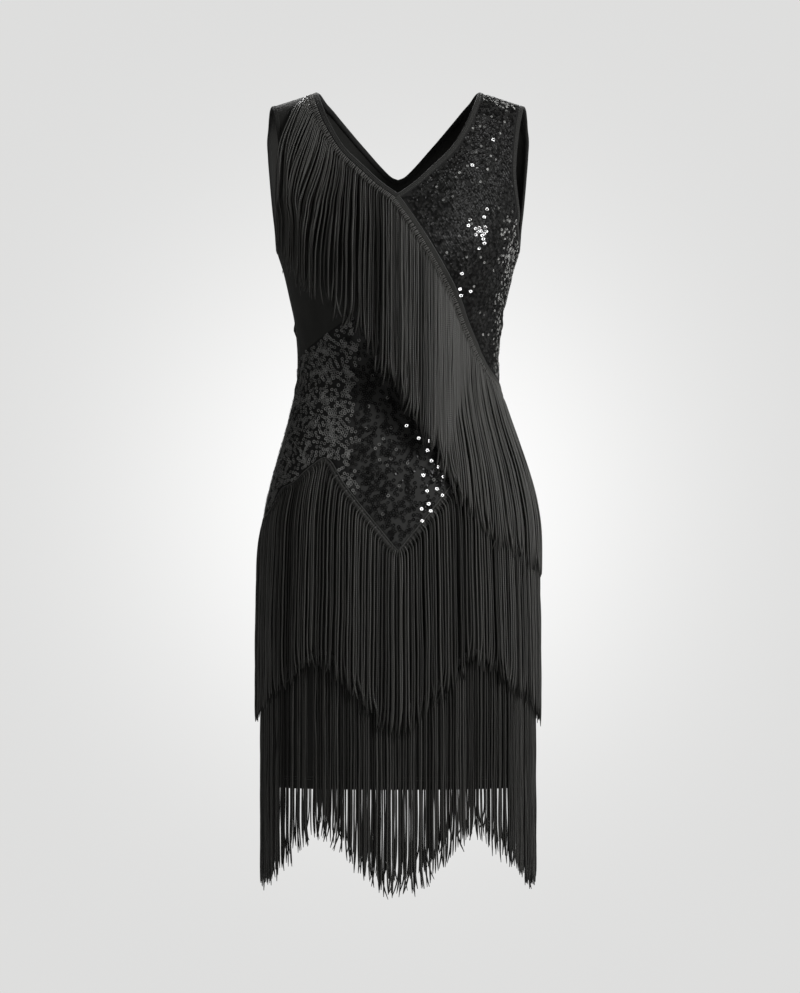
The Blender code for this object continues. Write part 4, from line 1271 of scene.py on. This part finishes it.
def rings(centres, normals, along, radius, hole, cup, chance):
    """Cupped ring sequins as one mesh."""
    first = unit(along - normals * np.sum(along * normals, axis=1, keepdims=True))
    second = np.cross(normals, first)
    turn = 2 * math.pi * np.arange(RING_SIDES) / RING_SIDES
    spokes = np.cos(turn)[None, :, None] * first[:, None] + np.sin(turn)[None, :, None] * second[:, None]
    outer = centres[:, None] + spokes * radius[:, None, None] + normals[:, None] * cup
    inner = centres[:, None] + spokes * hole[:, None, None]
    count = len(centres)
    points = np.concatenate([outer, inner], axis=1).reshape(-1, 3)
    base = (np.arange(count) * 2 * RING_SIDES)[:, None]
    i = np.arange(RING_SIDES)
    j = (i + 1) % RING_SIDES
    quads = np.stack([base + i, base + j, base + j + RING_SIDES, base + i + RING_SIDES], axis=2)
    weave = np.repeat(np.stack([chance, chance * 0, chance * 0], axis=1), 2 * RING_SIDES, axis=0)
    return points, weave, [quads.reshape(-1, 4)]


def sewn_rings(places, rows, tilt, lean, height, tone_and_painted_glint, radius, hole):
    """Sequins on the front, leaning up by a little and tipped at random, each with its own tone, which on
    pale rings is a painted glint.
    """
    centres = lay(-1, places, height)
    normals = facing(-1, places)
    along = unit(lay(-1, places + rows) - lay(-1, places - rows))
    second = np.cross(normals, along)
    count = len(places)
    normals = unit(normals + along * rng.normal(0, tilt, count)[:, None]
                   + second * rng.normal(0, tilt, count)[:, None] + np.array((0.0, 0.0, lean)))
    size = radius * rng.uniform(0.93, 1.05, count)
    return rings(centres, normals, along, size, size * hole / radius, 0.12, tone_and_painted_glint)


# Where single sequins are tipped towards the lamp: x and drop
LIT_UPPER = (
    (101.2, 132.0), (97.8, 141.2), (81.7, 144.7), (79.9, 151.6), (88.0, 155.0), (92.0, 153.9), (90.9, 158.5),
    (94.3, 157.3), (97.8, 160.1), (98.9, 152.7), (100.1, 157.3), (88.0, 161.9), (95.5, 162.4), (96.6, 166.4),
    (97.8, 171.0), (92.0, 176.7), (72.5, 205.7), (70.2, 222.9), (82.2, 225.2), (71.3, 230.4), (109.3, 52.7),
    (85.1, 82.6),
)
LIT_MIDRIFF = (
    (9.8, 381.6), (23.6, 396.0), (35.7, 399.4), (33.4, 409.8), (38.0, 421.9), (46.0, 428.8), (28.8, 438.5),
    (51.8, 440.3), (44.3, 454.1), (33.4, 456.4), (50.6, 461.5), (35.1, 471.3), (27.0, 477.1), (37.4, 479.4),
    (27.6, 490.9),
)


def clear_of(places, table, room=3.5):
    """Which places keep clear of the turns (x, drop) of a table."""
    x, drop = np.array(table).T
    spots = places_of(-1, x, drop)
    return np.linalg.norm(places[:, None] - spots[None], axis=2).min(axis=1) > room


BINDING_WIDTH = 6.0
tape_edge = offset(diagonal, -0.6)
upper_outline = np.concatenate([
    neck_line(-1, BINDING_WIDTH)[v_index:], pinned_armhole(-1, 1, BINDING_WIDTH)[1:],
    side_seam(-1, 1, front_armhole[1][-1, 1] + 4, tape_edge[-1, 1])[1:-1], tape_edge[:0:-1],
])
places, row_ways = rows_in(upper_outline, math.radians(58), 2.7, 2.15, 1.3, 60.0, 5, 1.6)
keep = ripple(places, 16.0, 12) + np.clip((drop_of(places[:, 1]) - 230) / 120, 0, 1) * 0.9 < 1.55
keep &= clear_of(places, LIT_UPPER, 3.2)
places, row_ways = places[keep], row_ways[keep]

# Where the upper sequins are painted pale as glints, how often, and how light the dark ones are
PALE_SIDE_X, PALE_SHOULDER_DROP = 118, 14
PALE_STRAY, PALE_CHANCE = 0.008, 0.34
DARK_GLOSS = 0.075
# Where the midriff's pale sequins end, by the distance round the cloth; their paleness is a painted
# reflection
PALE_BORDER = -50


def upper_painted_glints(places):
    """How pale each sequin of the upper panel is: the pale ones are painted glints, palest down the side and
    along the shoulder.
    """
    x, drop = lay(-1, places)[:, 0], drop_of(places[:, 1])
    down_side = np.clip((x - PALE_SIDE_X + 0.07 * (drop - 130)) / 12, 0, 1)
    down_side = down_side * np.clip((drop - 120) / 40, 0, 1)
    shoulder = np.clip((PALE_SHOULDER_DROP - drop) / 8, 0, 1)
    chance = PALE_STRAY + PALE_CHANCE * np.clip(down_side + shoulder, 0, 1)
    # Painted glints: some sequins are coloured pale
    pale = rng.random(len(places)) < chance
    return np.where(pale, rng.uniform(0.3, 1.0, len(places)), DARK_GLOSS * rng.random(len(places)) ** 2)


upper_rings = sewn_rings(places, row_ways, 0.1, 0.0, 0.75, upper_painted_glints(places), 1.5, 0.6)
sequins = {"upper": piece_of("sequins_upper", [upper_rings], sequin_fine, "sequin_upper")}

midriff_outline = np.concatenate([
    slant[::-1], offset(diagonal, 7.0)[meeting + 4:],
    side_seam(-1, 1, under_tape[-1, 1] + 6, hip[-1][-1, 1])[1:-1], hip[-1][::-1],
    side_seam(-1, -1, hip[-1][0, 1], slant[-1, 1])[1:-1],
])
places, row_ways = rows_in(midriff_outline, math.radians(52), 4.0, 3.55, 4.2, 34.0, 7, 1.7)
bare = ripple(places, 12.0, 31, 14)
middle_share = np.exp(-((places[:, 0] - 5) / 50) ** 2)
keep = (bare < 0.8 - 0.35 * middle_share) & clear_of(places, LIT_MIDRIFF)
places, row_ways = places[keep], row_ways[keep]


def midriff_painted_reflections(places):
    """Pale sequins on the wearer's right, black ones from the middle on, with a ragged border; the paleness
    is a painted reflection, and so are the few pale strays.
    """
    border = PALE_BORDER + 4 * ripple(places, 26.0, 44) + rng.normal(0, 3.5, len(places))
    # Painted reflection: the sequins on the wearer's right are coloured pale
    pale = places[:, 0] < border
    stray = rng.random(len(places)) < 0.02
    return np.where(pale | stray, rng.uniform(0.2, 0.46, len(places)), rng.uniform(0.0, 0.03, len(places)))


midriff_rings = sewn_rings(places, row_ways, 0.08, 0.05, 0.7, midriff_painted_reflections(places), 2.0, 1.02)
sequins["midriff"] = piece_of("sequins_midriff", [midriff_rings], sequin_black, "sequin_midriff")

CAMERA_PLACE = np.array([0.0023, -6.0, -0.4627])
SPARKLE_PLACE = np.array([-0.12, -0.72, -1.28])


def lit_rings(name, table, slot):
    """Sequins tipped to send the small lamp's light to the front, with their film painted pale as a glint
    too.
    """
    x, drop = np.array(table).T
    spots = places_of(-1, x, drop)
    centres = lay(-1, spots, 3.1)
    normals = unit(SPARKLE_PLACE / MM - centres) + unit(CAMERA_PLACE / MM - centres)
    normals = unit(unit(normals) + rng.normal(0, 0.008, (len(spots), 3)))
    along = np.broadcast_to([1.0, 0.0, 0.0], normals.shape)
    size = RING_RADIUS * rng.uniform(0.98, 1.06, len(spots))
    made = rings(centres, normals, along, size, size * RING_HOLE / RING_RADIUS, 0.02, rng.random(len(spots)))
    return piece_of(name, [made], sequin_glint, slot)


sequins["upper_lit"] = lit_rings("sequins_upper_lit", LIT_UPPER, "sequin_upper")
sequins["midriff_lit"] = lit_rings("sequins_midriff_lit", LIT_MIDRIFF, "sequin_midriff")

# Stage, light and camera
FRAME_HEIGHT = 1.162
SENSOR = 36.0
AIM = np.array([0.0, 0.0, -0.45])
FLOOR_Z = -1.40
FLOOR_RADIUS = 3.4
GLOW = 0.0507


def floor():
    """A round pale floor that fades out at its rim."""
    material, tree, shader = new_material("studio_floor", (0.55, 0.55, 0.545), 0.9, specular=0.1)
    spread = node(tree, "ShaderNodeTexCoord").outputs["Object"]
    far_off = node(tree, "ShaderNodeVectorMath", [(0, spread)], operation="LENGTH").outputs["Value"]
    fade = node(tree, "ShaderNodeMapRange", [(0, far_off), (1, 1.6), (2, FLOOR_RADIUS), (3, 1.0), (4, 0.0)],
                interpolation_type="SMOOTHSTEP")
    tree.links.new(fade.outputs[0], shader.inputs["Alpha"])
    turn = np.linspace(0, 2 * math.pi, 65)[:-1]
    points = np.stack([np.cos(turn), np.sin(turn), turn * 0], axis=1) * FLOOR_RADIUS / MM
    made = make_mesh("studio_floor", points, None, [np.arange(64)[None]])
    made.location.z = FLOOR_Z
    made.data.materials.append(material)


def lamp(name, azimuth, elevation, distance, width, height, power):
    """A rectangular lamp that faces the dress, by its angles seen from the middle of it."""
    data = bpy.data.lights.new(name, "AREA")
    data.shape, data.size, data.size_y, data.energy = "RECTANGLE", width, height, power
    made = bpy.data.objects.new(name, data)
    bpy.context.scene.collection.objects.link(made)
    a, e = math.radians(azimuth), math.radians(elevation)
    way = np.array([math.sin(a) * math.cos(e), -math.cos(a) * math.cos(e), math.sin(e)])
    made.location = AIM + way * distance
    made.rotation_euler = Vector(way).to_track_quat("Z", "Y").to_euler()
    made.visible_camera = False
    return made


def world():
    """A pale backdrop with a glow behind the dress, and a dim light from above."""
    scene_world = bpy.data.worlds.new("studio")
    bpy.context.scene.world = scene_world
    scene_world.use_nodes = True
    tree = scene_world.node_tree
    tree.nodes.clear()
    way = node(tree, "ShaderNodeTexCoord").outputs["Generated"]
    parts = node(tree, "ShaderNodeSeparateXYZ", [(0, way)])
    calc = partial(math_node, tree)
    across, up = (calc("POWER", calc("ABSOLUTE", parts.outputs[i]), 2.0) for i in (0, 2))
    glow = calc("EXPONENT", calc("MULTIPLY", calc("ADD", across, up), -1 / GLOW ** 2))
    seen = node(tree, "ShaderNodeBackground", [
        ("Color", mix_colours(tree, glow, (0.728, 0.728, 0.723), (1.034, 1.034, 1.03)))])
    overhead = node(tree, "ShaderNodeMapRange", [
        (0, parts.outputs[2]), (1, 0.4), (2, 1.0), (3, 0.05), (4, 0.17)], interpolation_type="SMOOTHSTEP")
    unseen = node(tree, "ShaderNodeBackground", [
        ("Color", (1.0, 1.0, 0.96, 1)), ("Strength", overhead.outputs[0])])
    eye = node(tree, "ShaderNodeLightPath").outputs["Is Camera Ray"]
    both = node(tree, "ShaderNodeMixShader", [(0, eye), (1, unseen.outputs[0]), (2, seen.outputs[0])])
    node(tree, "ShaderNodeOutputWorld", [(0, both.outputs[0])])


floor()
world()
lamp("key", 45, 32, 2.0, 0.6, 0.6, 48)
lamp("left_panel", -60, 10, 2.0, 1.1, 1.5, 6.0)
lamp("right_panel", 90, 20, 2.4, 1.6, 1.2, 6.0)
lamp("right_strip", 112, -10, 2.4, 0.25, 2.0, 7.5)
lamp("top_back", 188, 40, 3.0, 1.1, 1.1, 95)
# The small lamp that the tipped sequins send to the front
sparkle = lamp("sparkle", 0, 0, 1.0, 0.1, 0.1, 1.0)
sparkle.location = SPARKLE_PLACE
sparkle.rotation_euler = Vector(SPARKLE_PLACE - AIM).to_track_quat("Z", "Y").to_euler()

camera_data = bpy.data.cameras.new("camera")
camera_data.sensor_width = SENSOR
camera_data.lens = SENSOR * -CAMERA_PLACE[1] / FRAME_HEIGHT
camera = bpy.data.objects.new("camera", camera_data)
camera.location = CAMERA_PLACE
camera.rotation_euler = (math.pi / 2, 0, 0)
bpy.context.scene.collection.objects.link(camera)
bpy.context.scene.camera = camera
bpy.context.scene.view_settings.view_transform = "Standard"
